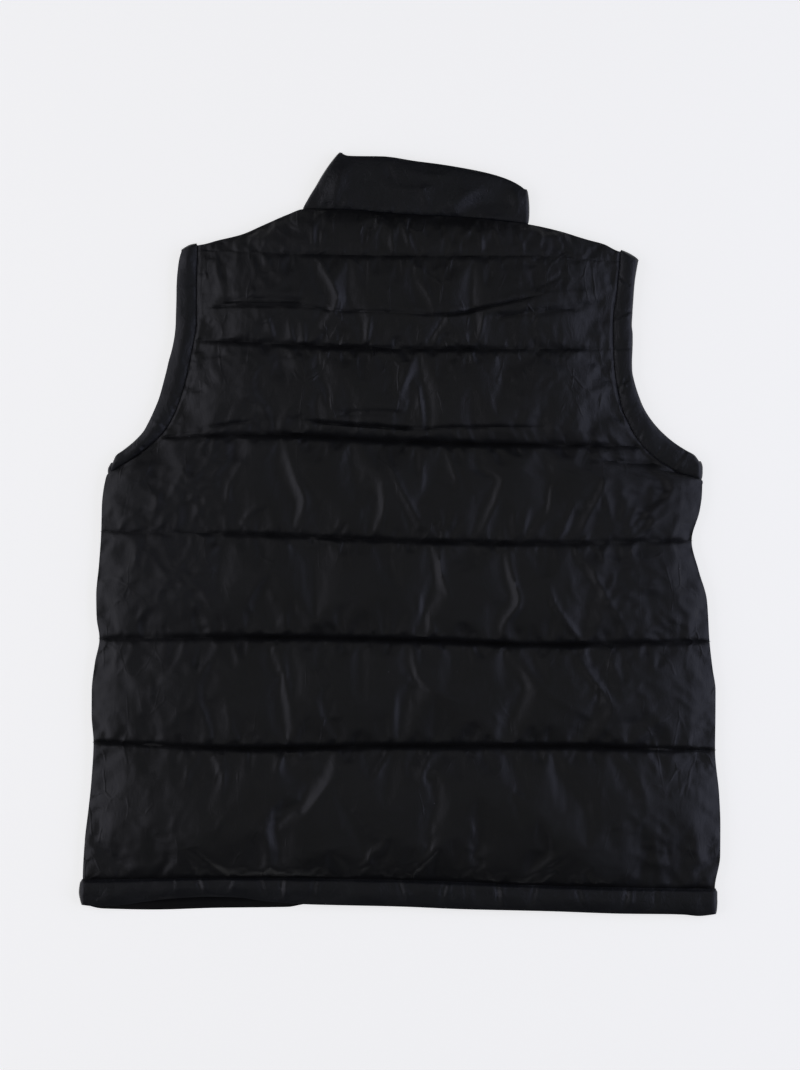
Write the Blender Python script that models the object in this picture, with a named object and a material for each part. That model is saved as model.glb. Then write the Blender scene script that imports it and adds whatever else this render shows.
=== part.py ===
"""Puffer vest laid flat and face down, zipped up: its back lies on its two fronts.

Sizes are in millimetres and are scaled to metres where a mesh is made. X runs across the vest,
Y runs from the hem to the collar, and Z is up, away from the surface that the fronts rest on.
"""

import math
from collections import namedtuple

import bmesh
import bpy
from mathutils import Matrix, Vector

MM = 0.001
UP = Vector((0.0, 0.0, 1.0))
GAP = 0.3

# Walls of the padded panels.
BACK_CREST = 11.5
FRONT_CREST = 16.0
SIDE_WALL = 1.8
SIDE_ROLL = 25.0
ARM_WALL = 3.0
ARM_ROLL = 15.0
ZIP_WALL = 3.4
ZIP_ROLL = 15.0
PUFF_POWER = 0.55
# A channel of this height or more puffs up to the full crest, and a lower one less.
FULL_CHANNEL = 62.0
CHANNEL_POWER = 0.7

# The surface between the back and the fronts, which sinks towards the outline.
MIDDLE_HEIGHT = 12.5
EDGE_HEIGHT = 5.5
FRONT_SLACK = 1.5
Sink = namedtuple("Sink", "level ramp")
SIDE_SINK = Sink(12.0, 45.0)
HEM_SINK = Sink(12.0, 45.0)
TOP_SINK = Sink(6.0, 24.0)
FRONT_NECK_SINK = Sink(4.0, 40.0)
# The zip slider and its pull lift the fronts a little beside the zip at the neck.
SLIDER_LIFT = 1.8
SLIDER_LIFT_REACH = 45.0

# Lines across the back, from the hem up. Heights are at five stations from the left side to the
# right one, wall is the thickness that is left at the line, and rows are the shares of the way to
# the next line at which the grid has a row.
Line = namedtuple("Line", "name left mid_left middle mid_right right wall on_front rows")
STATIONS = (0.0, 0.25, 0.5, 0.75, 1.0)
WIDE_ROWS = (0.1, 0.35, 0.65, 0.9)
LINES = (
    Line("hem seam", -337.0, -335.0, -337.0, -343.0, -346.0, 3.2, True, WIDE_ROWS),
    Line("seam 6", -202.5, -208.0, -205.5, -205.6, -210.0, 3.0, True, WIDE_ROWS),
    Line("seam 5", -101.0, -99.4, -102.0, -107.0, -104.0, 3.0, True, WIDE_ROWS),
    Line("seam 4", 3.4, 0.8, -5.4, -8.3, -5.5, 3.0, True, (0.17, 0.55)),
    Line("underarm", 59.0, 58.0, 55.0, 53.0, 54.5, 0.0, False, (0.4, 0.78)),
    Line("seam 3", 96.0, 95.6, 89.3, 85.9, 86.4, 2.4, True, (0.5,)),
    Line("fold over seam 3", 104.0, 109.0, 104.0, 99.5, 98.0, 7.0, False, (0.2, 0.55, 0.86)),
    Line("seam 2", 190.0, 185.0, 181.0, 181.0, 181.0, 3.0, True, (0.3, 0.7)),
    Line("chest fold", 222.0, 222.0, 216.0, 224.0, 228.0, 8.0, False, (0.3, 0.72)),
    Line("seam 1", 277.0, 273.3, 271.8, 271.8, 267.0, 3.2, True, (0.3, 0.72)),
)
UNDERARM = 4
NECK_SEAM_WALL = 3.4

# Side edges of the panels, with y and x: the side seam up to the underarm, then the armhole seam.
LEFT_EDGE = (
    (-337.0, -308.5), (-298.0, -307.0), (-269.0, -303.0), (-240.0, -299.5), (-202.5, -296.5),
    (-175.0, -299.5), (-153.0, -300.0), (-125.0, -297.0), (-101.0, -293.0), (-80.0, -295.5),
    (-59.0, -295.5), (-30.0, -292.5), (3.4, -290.0), (30.0, -290.5), (59.0, -284.5),
    (68.0, -274.0), (87.0, -246.5), (104.0, -230.0), (125.0, -219.0), (151.0, -210.7),
    (181.0, -204.5), (210.0, -200.0), (246.0, -200.0), (281.0, -199.0),
)
RIGHT_EDGE = (
    (-346.0, 307.0), (-313.0, 311.8), (-284.0, 311.8), (-255.0, 309.5), (-210.0, 304.5),
    (-175.0, 307.0), (-152.0, 307.0), (-130.0, 304.0), (-104.0, 300.5), (-64.0, 298.5),
    (-35.0, 291.0), (-5.5, 283.5), (24.0, 291.0), (54.5, 292.0), (61.0, 275.0),
    (85.0, 240.5), (108.0, 225.0), (132.0, 216.0), (170.0, 210.3), (208.0, 209.4),
    (238.0, 212.9), (271.0, 215.8),
)

# Top edges, with x and y: shoulder seam, neck seam, shoulder seam.
BACK_TOP = (
    (-199.0, 281.0), (-176.0, 286.5), (-155.0, 291.5), (-133.0, 301.0), (-110.0, 311.0),
    (-94.0, 317.0), (-56.0, 317.5), (0.0, 313.0), (70.0, 309.5), (97.0, 306.5), (123.0, 303.0),
    (152.0, 295.5), (183.0, 286.0), (199.0, 281.0), (215.8, 271.0),
)
LEFT_NECK_POINT = -94.0
RIGHT_NECK_POINT = 123.0
FRONT_NECK_HEIGHT = 245.0
FRONT_NECK_POWER = 2.2
FRONT_NECK_SQUARENESS = 0.8
# Least distance between the front's lines where its neck edge presses them together.
FRONT_LINE_STEP = 13.0

# Columns of the grid, as shares of the width, closer together where the sides round over.
SIDE_COLUMNS = (0.0, 0.008, 0.02, 0.036, 0.058)
INNER_COLUMNS = tuple(0.10 + 0.05 * i for i in range(17))
COLUMNS = SIDE_COLUMNS + INNER_COLUMNS + tuple(1.0 - s for s in reversed(SIDE_COLUMNS))
FRONT_COLUMN_LIMIT = 0.401
CENTRE_HALF = 10.0
CENTRE_COLUMNS = (18.0, 10.0, 4.0, 0.0)

# Broad folds on the back: both ends, half width and rise.
Fold = namedtuple("Fold", "x0 y0 x1 y1 half_width rise")
FOLDS = (
    Fold(-78.0, 262.0, -72.0, 205.0, 15.0, 3.0),
    Fold(15.0, 170.0, 6.0, 118.0, 18.0, 2.4),
    Fold(-112.0, 84.0, -96.0, 18.0, 15.0, 3.0),
    Fold(-12.0, 74.0, 20.0, 8.0, 15.0, 2.4),
    Fold(205.0, 62.0, 186.0, 8.0, 16.0, 3.0),
    Fold(40.0, -16.0, 48.0, -60.0, 15.0, 2.2),
    Fold(104.0, -16.0, 106.0, -92.0, 16.0, 3.0),
    Fold(178.0, -22.0, 224.0, -92.0, 16.0, 3.0),
    Fold(-118.0, -112.0, -104.0, -198.0, 16.0, 2.4),
    Fold(110.0, -116.0, 212.0, -198.0, 20.0, 2.8),
    Fold(222.0, -222.0, 232.0, -286.0, 22.0, 3.0),
    Fold(-62.0, -230.0, -92.0, -268.0, 20.0, 2.4),
)

# Bands that finish the edges.
BINDING_WIDTH = 16.5
UNDERARM_WIDTH = 12.0
BINDING_THICK = 4.6
HEM_THICK = 5.0
COLLAR_THICK = 6.6
FOLD_THICK = 3.2
FOLD_ANGLES = (36.0, 90.0, 144.0)
INSIDE_HOLLOW = 0.2
CROWN = ((1.0, 0.42), (0.86, 0.86), (0.5, 1.0), (0.14, 0.86), (0.0, 0.5))
# Lower edge of the hem band on the back and beneath the left and right fronts, with x and y.
HEM_EDGE = (
    (-309.0, -361.0), (-268.0, -359.7), (-226.0, -355.8), (-183.0, -353.8), (-141.0, -354.8),
    (-77.6, -359.7), (0.0, -361.6), (147.0, -367.5), (219.0, -370.4), (283.0, -372.3),
    (305.5, -366.0),
)
FRONT_HEM_EDGE = (
    (-309.0, -361.0), (-300.0, -364.5), (-180.0, -366.0), (-90.0, -364.0), (0.0, -364.0),
    (180.0, -366.0), (285.0, -368.0), (305.5, -366.0),
)
# Outer corners of the armhole bindings, at the shoulder tips and at the underarms, left and right.
SHOULDER_TIPS = ((-215.5, 274.5), (232.5, 265.5))
UNDERARM_LEANS = ((0.34, 0.94), (0.0, 1.0))
# Upper edge of the collar's back half, from its left fold to its right one.
COLLAR_EDGE = (
    (0.0, -57.0, 370.0), (0.06, -50.0, 372.0), (0.25, -16.0, 369.5), (0.55, 46.0, 360.6),
    (0.8, 92.0, 350.5), (0.93, 113.0, 342.0), (1.0, 120.5, 336.0),
)
COLLAR_HEIGHT = 53.0

# Front zip, with the slider just under the collar's upper edge.
TAPE_THICK = 1.2
TAPE_STEP = 0.2
TEETH_HALF_WIDTH = 3.0
TEETH_HALF_THICK = 1.4
ZIP_DROP = 1.7
ZIP_BOTTOM = -363.0
ZIP_TOP = 292.0
SLIDER_TOP = 287.0
SLIDER_LENGTH = 14.0
SLIDER_HALF_WIDTH = 4.6
PLATE_THICK = 0.9
POST_LENGTH = 3.0
POST_HALF_WIDTH = 1.2
CROWN_LENGTH = 7.0
CROWN_HALF_WIDTH = 1.2
CROWN_WINDOW = 1.7
CROWN_THICK = 0.8
BAR_RADIUS = 0.6
BAR_HALF_LENGTH = 2.6
EYE_WALL = 1.0
PULL_ARM = 5.0
PULL_ARM_WALL = 0.8
PULL_CORNER = 2.0
PULL_LENGTH = 26.0
PULL_HALF_WIDTH = 3.6
PULL_THICK = 1.2
FLOOR_CLEARANCE = 0.25


def clear_scene():
    for thing in list(bpy.data.objects):
        bpy.data.objects.remove(thing, do_unlink=True)


def finish(name, colour, roughness, metallic=0.0):
    material = bpy.data.materials.new(name)
    material.use_nodes = True
    shader = material.node_tree.nodes["Principled BSDF"]
    shader.inputs["Base Color"].default_value = (*colour, 1.0)
    shader.inputs["Roughness"].default_value = roughness
    shader.inputs["Metallic"].default_value = metallic
    material.diffuse_color = (*colour, 1.0)
    return material


def clamp(value):
    return min(1.0, max(0.0, value))


def smoothstep(value):
    share = clamp(value)
    return share * share * (3.0 - 2.0 * share)


def curve(table, place):
    """Height of a smooth curve through a table's (place, height) rows; it doesn't overshoot."""
    if place <= table[0][0]:
        return table[0][1]
    if place >= table[-1][0]:
        return table[-1][1]
    last = len(table) - 1
    index = next(i for i in range(last) if place <= table[i + 1][0])

    def slope(i):
        if i in (0, last):
            return 0.0
        before = (table[i][1] - table[i - 1][1]) / (table[i][0] - table[i - 1][0])
        after = (table[i + 1][1] - table[i][1]) / (table[i + 1][0] - table[i][0])
        return 0.0 if before * after <= 0.0 else 2.0 * before * after / (before + after)

    (x0, y0), (x1, y1) = table[index], table[index + 1]
    width = x1 - x0
    t = (place - x0) / width
    rise = slope(index) * width * t * (1.0 - t) ** 2 - slope(index + 1) * width * t * t * (1.0 - t)
    return y0 + (y1 - y0) * smoothstep(t) + rise


def line_height(line, share):
    heights = (line.left, line.mid_left, line.middle, line.mid_right, line.right)
    return curve(tuple(zip(STATIONS, heights)), share)


def back_top(x):
    return curve(BACK_TOP, x)


def front_top(x):
    """Shoulder seam, then the front neck's scoop down to the zip."""
    point = LEFT_NECK_POINT if x < 0.0 else RIGHT_NECK_POINT
    share = clamp((abs(x) - CENTRE_HALF) / (abs(point) - CENTRE_HALF))
    if share >= 1.0:
        return back_top(x)
    depth = back_top(point) - FRONT_NECK_HEIGHT
    return FRONT_NECK_HEIGHT + depth * (1.0 - (1.0 - share ** FRONT_NECK_POWER) ** FRONT_NECK_SQUARENESS)


def sunk(inset, sink):
    return smoothstep((inset - sink.level) / sink.ramp)


def middle_share(x, y):
    """1 well inside the vest and 0 at its outline."""
    share = sunk(x - curve(LEFT_EDGE, y), SIDE_SINK)
    share *= sunk(curve(RIGHT_EDGE, y) - x, SIDE_SINK)
    width = RIGHT_EDGE[0][1] - LEFT_EDGE[0][1]
    share *= sunk(y - line_height(LINES[0], (x - LEFT_EDGE[0][1]) / width), HEM_SINK)
    return share * sunk(back_top(x) - y, TOP_SINK)


def back_inside(x, y):
    return EDGE_HEIGHT + (MIDDLE_HEIGHT - EDGE_HEIGHT) * middle_share(x, y) + GAP / 2


def front_inside(x, y):
    """Inside of the fronts, which also sink at their own neck edge, as does the collar's front."""
    share = middle_share(x, y) * sunk(front_top(x) - y, FRONT_NECK_SINK)
    lift = 0.0
    if y > FRONT_NECK_HEIGHT - SLIDER_LIFT_REACH:
        lift = SLIDER_LIFT * (1.0 - share) * smoothstep(1.0 - abs(x) / SLIDER_LIFT_REACH)
    return EDGE_HEIGHT + (MIDDLE_HEIGHT - EDGE_HEIGHT - FRONT_SLACK) * share + lift - GAP / 2


def puffed(y, levels, crest):
    """Wall of a quilted panel at height y; levels are its lines' (height, wall) from the hem up."""
    for (low, low_wall), (high, high_wall) in zip(levels, levels[1:]):
        if y <= high or (high, high_wall) == levels[-1]:
            share = clamp((y - low) / (high - low))
            line_wall = low_wall + (high_wall - low_wall) * share
            size = clamp((high - low) / FULL_CHANNEL) ** CHANNEL_POWER
            puff = math.sin(math.pi * share) ** PUFF_POWER if 0.0 < share < 1.0 else 0.0
            return line_wall + max(0.0, crest * size - line_wall) * puff
    return levels[0][1]


def rolled(wall, inset, edge_wall, roll):
    """Wall that rounds down to edge_wall at a panel's edge."""
    if inset >= roll or wall <= edge_wall:
        return wall
    return edge_wall + (wall - edge_wall) * math.sqrt(1.0 - (1.0 - clamp(inset / roll)) ** 2)


def rolled_sides(wall, x, y):
    left = x - curve(LEFT_EDGE, y)
    right = curve(RIGHT_EDGE, y) - x
    line = LINES[UNDERARM]
    inset, underarm = (left, line.left) if left < right else (right, line.right)
    if y > underarm:
        return rolled(wall, inset, ARM_WALL, ARM_ROLL)
    return rolled(wall, inset, SIDE_WALL, SIDE_ROLL)


def fold_rise(x, y):
    """How far the broad folds raise the back at a point."""
    rise = 0.0
    for fold in FOLDS:
        run = Vector((fold.x1 - fold.x0, fold.y1 - fold.y0))
        along = clamp(Vector((x - fold.x0, y - fold.y0)).dot(run) / run.length_squared)
        away = (Vector((x - fold.x0, y - fold.y0)) - run * along).length / fold.half_width
        if away < 1.0:
            rise = max(rise, fold.rise * (1.0 - away * away) ** 2)
    return rise


def grid_rows():
    """Each row of the grid: the line below it and the share of the way to the next line."""
    rows = []
    for index, line in enumerate(LINES):
        for share in (0.0,) + line.rows:
            rows.append((index, share))
    rows.append((len(LINES), 0.0))
    return rows


def row_point(index, share, across, on_front=False):
    """Plan position of a row at a share of its width."""
    heights = []
    for number in (index, index + 1):
        heights.append([level_height(number, s, on_front) for s in (0.0, 1.0, across)])
    left, right, y = (low + (high - low) * share for low, high in zip(*heights))
    x_left = curve(LEFT_EDGE, left)
    return x_left + (curve(RIGHT_EDGE, right) - x_left) * across, y


def level_height(number, across, on_front):
    """Height of a line, or of the top edge past the last line."""
    top_x = LEFT_EDGE[-1][1] + (RIGHT_EDGE[-1][1] - LEFT_EDGE[-1][1]) * across
    top = front_top(top_x) if on_front else back_top(top_x)
    if number >= len(LINES):
        return top
    height = line_height(LINES[number], across)
    if not on_front:
        return height
    return min(height, top - FRONT_LINE_STEP * (len(LINES) - number))


def levels_at(across, on_front):
    levels = []
    for number, line in enumerate(LINES):
        if line.wall and (line.on_front or not on_front):
            levels.append((level_height(number, across, on_front), line.wall))
    levels.append((level_height(len(LINES), across, on_front), NECK_SEAM_WALL))
    return levels


def new_object(name, mesh, material):
    mesh.materials.append(material)
    mesh.shade_smooth()
    mesh.set_sharp_from_angle(angle=math.radians(50.0))
    thing = bpy.data.objects.new(name, mesh)
    bpy.context.scene.collection.objects.link(thing)
    return thing


def solid(name, points, faces, material):
    """Closed mesh object from points in millimetres."""
    shape = bmesh.new()
    corners = [shape.verts.new(Vector(point) * MM) for point in points]
    for face in faces:
        shape.faces.new([corners[i] for i in face])
    bmesh.ops.recalc_face_normals(shape, faces=shape.faces)
    if shape.calc_volume(signed=True) < 0.0:
        bmesh.ops.reverse_faces(shape, faces=shape.faces)
    mesh = bpy.data.meshes.new(name)
    shape.to_mesh(mesh)
    shape.free()
    return new_object(name, mesh, material)


def wall_solid(name, inner, outer, material):
    """Closed wall between two grids of the same size."""
    rows, columns = len(inner), len(inner[0])
    points = [p for row in inner for p in row] + [p for row in outer for p in row]
    start = rows * columns
    faces = []
    to_right = inner[0][-1][0] > inner[0][0][0]
    for i in range(rows - 1):
        for j in range(columns - 1):
            a, b = i * columns + j, i * columns + j + 1
            c, d = b + columns, a + columns
            # Every panel's cells are cut along the same diagonal, so panels that lie on each other fit.
            halves = ([a, b, c], [a, c, d]) if to_right else ([a, b, d], [b, c, d])
            for half in halves:
                faces.append(half)
                faces.append([start + corner for corner in reversed(half)])
    rim = [j for j in range(columns)]
    rim += [i * columns + columns - 1 for i in range(1, rows)]
    rim += [(rows - 1) * columns + j for j in range(columns - 2, -1, -1)]
    rim += [i * columns for i in range(rows - 2, 0, -1)]
    for a, b in zip(rim, rim[1:] + rim[:1]):
        faces.append([a, b, start + b, start + a])
    return solid(name, points, faces, material)


def loft(name, rings, material, closed=False):
    """Solid skinned over rings of equal size; an open one is capped at both ends."""
    size = len(rings[0])
    points = [point for ring in rings for point in ring]
    faces = []
    pairs = list(zip(range(len(rings)), range(1, len(rings))))
    if closed:
        pairs.append((len(rings) - 1, 0))
    for a, b in pairs:
        for i in range(size):
            j = (i + 1) % size
            faces.append([a * size + i, a * size + j, b * size + j, b * size + i])
    if not closed:
        faces.append(list(range(size)))
        faces.append([(len(rings) - 1) * size + i for i in range(size)])
    return solid(name, points, faces, material)


def back_panel(material):
    """Quilted back in one piece; returns its object and the (x, y) rows of its grid."""
    plan, inner, outer = [], [], []
    for index, share in grid_rows():
        row = [row_point(index, share, across) for across in COLUMNS]
        plan.append(row)
        inner.append([(x, y, back_inside(x, y)) for x, y in row])
        tops = []
        for (x, y), across in zip(row, COLUMNS):
            wall = puffed(y, levels_at(across, False), BACK_CREST)
            wall = rolled_sides(wall + fold_rise(x, y) * clamp(wall / BACK_CREST), x, y)
            tops.append((x, y, back_inside(x, y) + wall))
        outer.append(tops)
    return wall_solid("back", inner, outer, material), plan


def front_panel(side, material):
    """Quilted front of one side, -1 left or 1 right, which rests on the surface."""
    shares = [s for s in COLUMNS if (s if side < 0 else 1.0 - s) < FRONT_COLUMN_LIMIT]
    shares.sort(key=lambda s: s if side < 0 else 1.0 - s)
    plan, inner, outer = [], [], []
    for index, share in grid_rows():
        row = [(*row_point(index, share, across, True), across) for across in shares]
        last_x = row[-1][0]
        for inset in CENTRE_COLUMNS:
            x = side * (CENTRE_HALF + inset)
            across = shares[-1] + (0.5 - shares[-1]) * abs(x - last_x) / abs(last_x)
            row.append((x, row_point(index, share, across, True)[1], across))
        if index == len(LINES):
            row = [(x, front_top(x), across) for x, _, across in row]
        plan.append([(x, y) for x, y, _ in row])
        inner.append([(x, y, front_inside(x, y)) for x, y, _ in row])
        bottoms = []
        for x, y, across in row:
            wall = rolled_sides(puffed(y, levels_at(across, True), FRONT_CREST), x, y)
            wall = rolled(wall, abs(x) - CENTRE_HALF, ZIP_WALL, ZIP_ROLL)
            bottoms.append((x, y, max(0.0, front_inside(x, y) - wall)))
        outer.append(bottoms)
    name = "front_left" if side < 0 else "front_right"
    return wall_solid(name, inner, outer, material), plan


def outward(points, index, side):
    """Unit normal of a plan outline at a point, to its left for side 1 and to its right for side -1."""
    before = Vector(points[max(index - 1, 0)])
    after = Vector(points[min(index + 1, len(points) - 1)])
    run = (after - before).normalized()
    return Vector((-run.y, run.x)) * side


def ring(base, edge, normal, thick):
    """Section of a band: a little hollow inside, crowned outside, and never under the resting surface."""
    points = [base, base.lerp(edge, 0.5) + normal * INSIDE_HOLLOW, edge]
    for along, share in CROWN:
        points.append(base.lerp(edge, along) + normal * thick * share)
    return [Vector((p.x, p.y, max(0.0, p.z))) for p in points]


def top_ring(base, edge, thick):
    return ring(*(Vector((*p, back_inside(*p))) for p in (base, edge)), UP, thick)


def low_ring(base, edge, thick):
    return ring(*(Vector((*p, front_inside(*p))) for p in (base, edge)), -UP, thick)


def fold_rings(base, edge, away):
    """Rings that carry a band round its fold from the back to the fronts."""
    rings = []
    for angle in FOLD_ANGLES:
        turn = math.radians(angle)
        normal = UP * math.cos(turn) + Vector((away.x, away.y, 0.0)) * math.sin(turn)
        ends = (Vector((*point, EDGE_HEIGHT)) + normal * (GAP / 2) for point in (base, edge))
        rings.append(ring(*ends, normal, FOLD_THICK))
    return rings


def fold_away(base, edge, side):
    run = (edge - base).normalized()
    return Vector((-run.y, run.x)) * side


def arm_binding(side, back_plan, material):
    """Binding round one armhole: over the back, round the underarm, under the front and back up."""
    column = 0 if side < 0 else -1
    rows = grid_rows()
    start = rows.index((UNDERARM, 0.0))
    seam = [Vector(row[column]) for row in back_plan[start:]]
    tip = Vector(SHOULDER_TIPS[column])
    sections = []
    for i, point in enumerate(seam):
        normal = outward(seam, i, -side)
        width = BINDING_WIDTH
        if i == 0:
            normal = Vector(UNDERARM_LEANS[column])
            width = UNDERARM_WIDTH
        edge = tip if i == len(seam) - 1 else point + normal * width
        run = (edge - point).normalized()
        sections.append((point + run * GAP, edge))
    over = [top_ring(base, edge, BINDING_THICK) for base, edge in reversed(sections)]
    under = [low_ring(base, edge, BINDING_THICK) for base, edge in sections]
    rings = over + fold_rings(*sections[0], fold_away(*sections[0], -side)) + under
    rings += list(reversed(fold_rings(*sections[-1], fold_away(*sections[-1], side))))
    name = "arm_binding_left" if side < 0 else "arm_binding_right"
    return loft(name, rings, material, closed=True)


def hem_band(back_plan, left_plan, right_plan, material):
    """Hem band from the zip round the left side, across the back and round to the zip again."""

    def section(point, table):
        base = Vector(point) - Vector((0.0, GAP))
        return base, Vector((base.x, curve(table, base.x)))

    over = [section(point, HEM_EDGE) for point in back_plan[0]]
    left = [section(point, FRONT_HEM_EDGE) for point in left_plan[0]]
    right = [section(point, FRONT_HEM_EDGE) for point in right_plan[0]]
    rings = [low_ring(*ends, HEM_THICK) for ends in reversed(left)]
    rings += list(reversed(fold_rings(*over[0], fold_away(*over[0], -1))))
    rings += [top_ring(*ends, HEM_THICK) for ends in over]
    rings += fold_rings(*over[-1], fold_away(*over[-1], 1))
    rings += [low_ring(*ends, HEM_THICK) for ends in right]
    return loft("hem_band", rings, material)


def neck_points(top_row):
    """Part of a top row between the neck points, with both of them put in."""
    points = [Vector((LEFT_NECK_POINT, polyline_height(top_row, LEFT_NECK_POINT)))]
    points += [Vector(p) for p in top_row if LEFT_NECK_POINT + 1.0 < p[0] < RIGHT_NECK_POINT - 1.0]
    points.append(Vector((RIGHT_NECK_POINT, polyline_height(top_row, RIGHT_NECK_POINT))))
    return points


def polyline_height(points, x):
    for (x0, y0), (x1, y1) in zip(points, points[1:]):
        if min(x0, x1) <= x <= max(x0, x1):
            return y0 + (y1 - y0) * (x - x0) / (x1 - x0)
    return points[-1][1]


def collar(back_plan, left_plan, right_plan, material):
    """Stand collar: its back half lies up from the neck seam and its front halves lie under it."""
    neck = neck_points(back_plan[-1])
    span = RIGHT_NECK_POINT - LEFT_NECK_POINT
    over = []
    for point in neck:
        share = (point.x - LEFT_NECK_POINT) / span
        edge = Vector((curve([row[:2] for row in COLLAR_EDGE], share),
                       curve([(row[0], row[2]) for row in COLLAR_EDGE], share)))
        over.append((point + Vector((0.0, GAP)), edge))

    def front_half(plan, point, fold):
        fold_run = fold[1] - fold[0]
        seam = [Vector(p) for p in plan[-1] if abs(p[0]) < abs(point) - 1.0]
        halves = []
        for place in seam:
            share = (abs(place.x) - CENTRE_HALF) / (abs(point) - CENTRE_HALF)
            lean = fold_run * smoothstep(share) + Vector((0.0, COLLAR_HEIGHT)) * (1.0 - smoothstep(share))
            base = place + lean.normalized() * GAP * (1.0 + 2.0 * share)
            halves.append((base, place + lean))
        return halves

    left = front_half(left_plan, LEFT_NECK_POINT, over[0])
    right = front_half(right_plan, RIGHT_NECK_POINT, over[-1])
    rings = [low_ring(*ends, COLLAR_THICK) for ends in reversed([over[0]] + left)]
    rings += list(reversed(fold_rings(*over[0], fold_away(*over[0], 1))))
    rings += [top_ring(*ends, COLLAR_THICK) for ends in over]
    rings += fold_rings(*over[-1], fold_away(*over[-1], -1))
    rings += [low_ring(*ends, COLLAR_THICK) for ends in [over[-1]] + right]
    return loft("collar", rings, material)


def zip_height(y):
    """Height of the zip's middle plane, between the fronts' edges."""
    return front_inside(CENTRE_HALF, y) - ZIP_DROP


def zip_tape(side, front_plan, material):
    """One tape of the zip along its front's edge, with its row of teeth as a bead."""
    half = TAPE_THICK / 2
    inner, outer = GAP / 2, CENTRE_HALF - GAP
    step = TEETH_HALF_WIDTH + TAPE_STEP
    teeth_end = SLIDER_TOP - POST_LENGTH - GAP * 2
    beaded = [(inner, -TEETH_HALF_THICK), (TEETH_HALF_WIDTH, -TEETH_HALF_THICK), (TEETH_HALF_WIDTH, -half)]
    plain = [(TEETH_HALF_WIDTH, -half), (step, -half), (step + TAPE_STEP, -half)]
    heights = [ZIP_BOTTOM] + [row[-1][1] for row in front_plan] + [SLIDER_TOP - SLIDER_LENGTH, teeth_end]
    stations = [(y, beaded) for y in heights] + [(teeth_end + GAP, plain), (ZIP_TOP, plain)]
    rings = []
    for y, lower in stations:
        section = lower + [(outer, -half), (outer, half)] + [(x, -z) for x, z in reversed(lower)]
        rings.append([(side * x, y, zip_height(y) + z) for x, z in section])
    return loft("zip_tape_left" if side < 0 else "zip_tape_right", rings, material)


def box(low, high):
    """Mesh of a box between two corners in millimetres."""
    shape = bmesh.new()
    size = Vector(high) - Vector(low)
    centre = (Vector(high) + Vector(low)) / 2
    matrix = Matrix.Translation(centre * MM) @ Matrix.Diagonal((*(size * MM), 1.0))
    bmesh.ops.create_cube(shape, size=1.0, matrix=matrix)
    mesh = bpy.data.meshes.new("box")
    shape.to_mesh(mesh)
    shape.free()
    return mesh


def union(name, boxes, material):
    """Object of the first box with the others joined on by Boolean modifiers."""
    thing = new_object(name, box(*boxes[0]), material)
    for number, corners in enumerate(boxes[1:]):
        helper = bpy.data.objects.new(f"{name}_piece_{number}", box(*corners))
        bpy.context.scene.collection.objects.link(helper)
        helper.hide_render = True
        helper.display_type = "WIRE"
        joined = thing.modifiers.new(f"piece {number}", "BOOLEAN")
        joined.operation = "UNION"
        joined.object = helper
    return thing


def slider_place():
    """Height of the zip at the slider, and the place of the pull's bar in the slider's crown."""
    height = zip_height(SLIDER_TOP - SLIDER_LENGTH / 2)
    face = height - TEETH_HALF_THICK - GAP - PLATE_THICK
    bar = Vector((0.0, SLIDER_TOP - SLIDER_LENGTH / 2, face - CROWN_WINDOW / 2))
    return height, face, bar


def zip_slider(material):
    """Slider with a plate on each face of the teeth, the post that joins them and the pull's crown."""
    height, face, bar = slider_place()
    inner = TEETH_HALF_THICK + GAP
    bottom, wide = SLIDER_TOP - SLIDER_LENGTH, SLIDER_HALF_WIDTH
    sunk_in = 0.2
    back_leg = bar.y + CROWN_LENGTH / 2
    front_leg = bar.y - CROWN_LENGTH / 2
    crown_low = face - CROWN_WINDOW - CROWN_THICK
    plates = [
        ((-wide, bottom, face), (wide, SLIDER_TOP, face + PLATE_THICK)),
        ((-wide, bottom, height + inner), (wide, SLIDER_TOP, height + inner + PLATE_THICK)),
    ]
    post = ((-POST_HALF_WIDTH, SLIDER_TOP - POST_LENGTH, face + sunk_in),
            (POST_HALF_WIDTH, SLIDER_TOP - sunk_in, height + inner + PLATE_THICK - sunk_in))
    half = CROWN_HALF_WIDTH
    legs = [
        ((-half, front_leg, crown_low + sunk_in), (half, front_leg + CROWN_THICK, face + sunk_in)),
        ((-half, back_leg - CROWN_THICK, crown_low + sunk_in), (half, back_leg, face + sunk_in)),
    ]
    bridge = ((-half, front_leg, crown_low), (half, back_leg, crown_low + CROWN_THICK))
    return union("zip_slider", [plates[0], post, plates[1], *legs, bridge], material)


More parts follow.
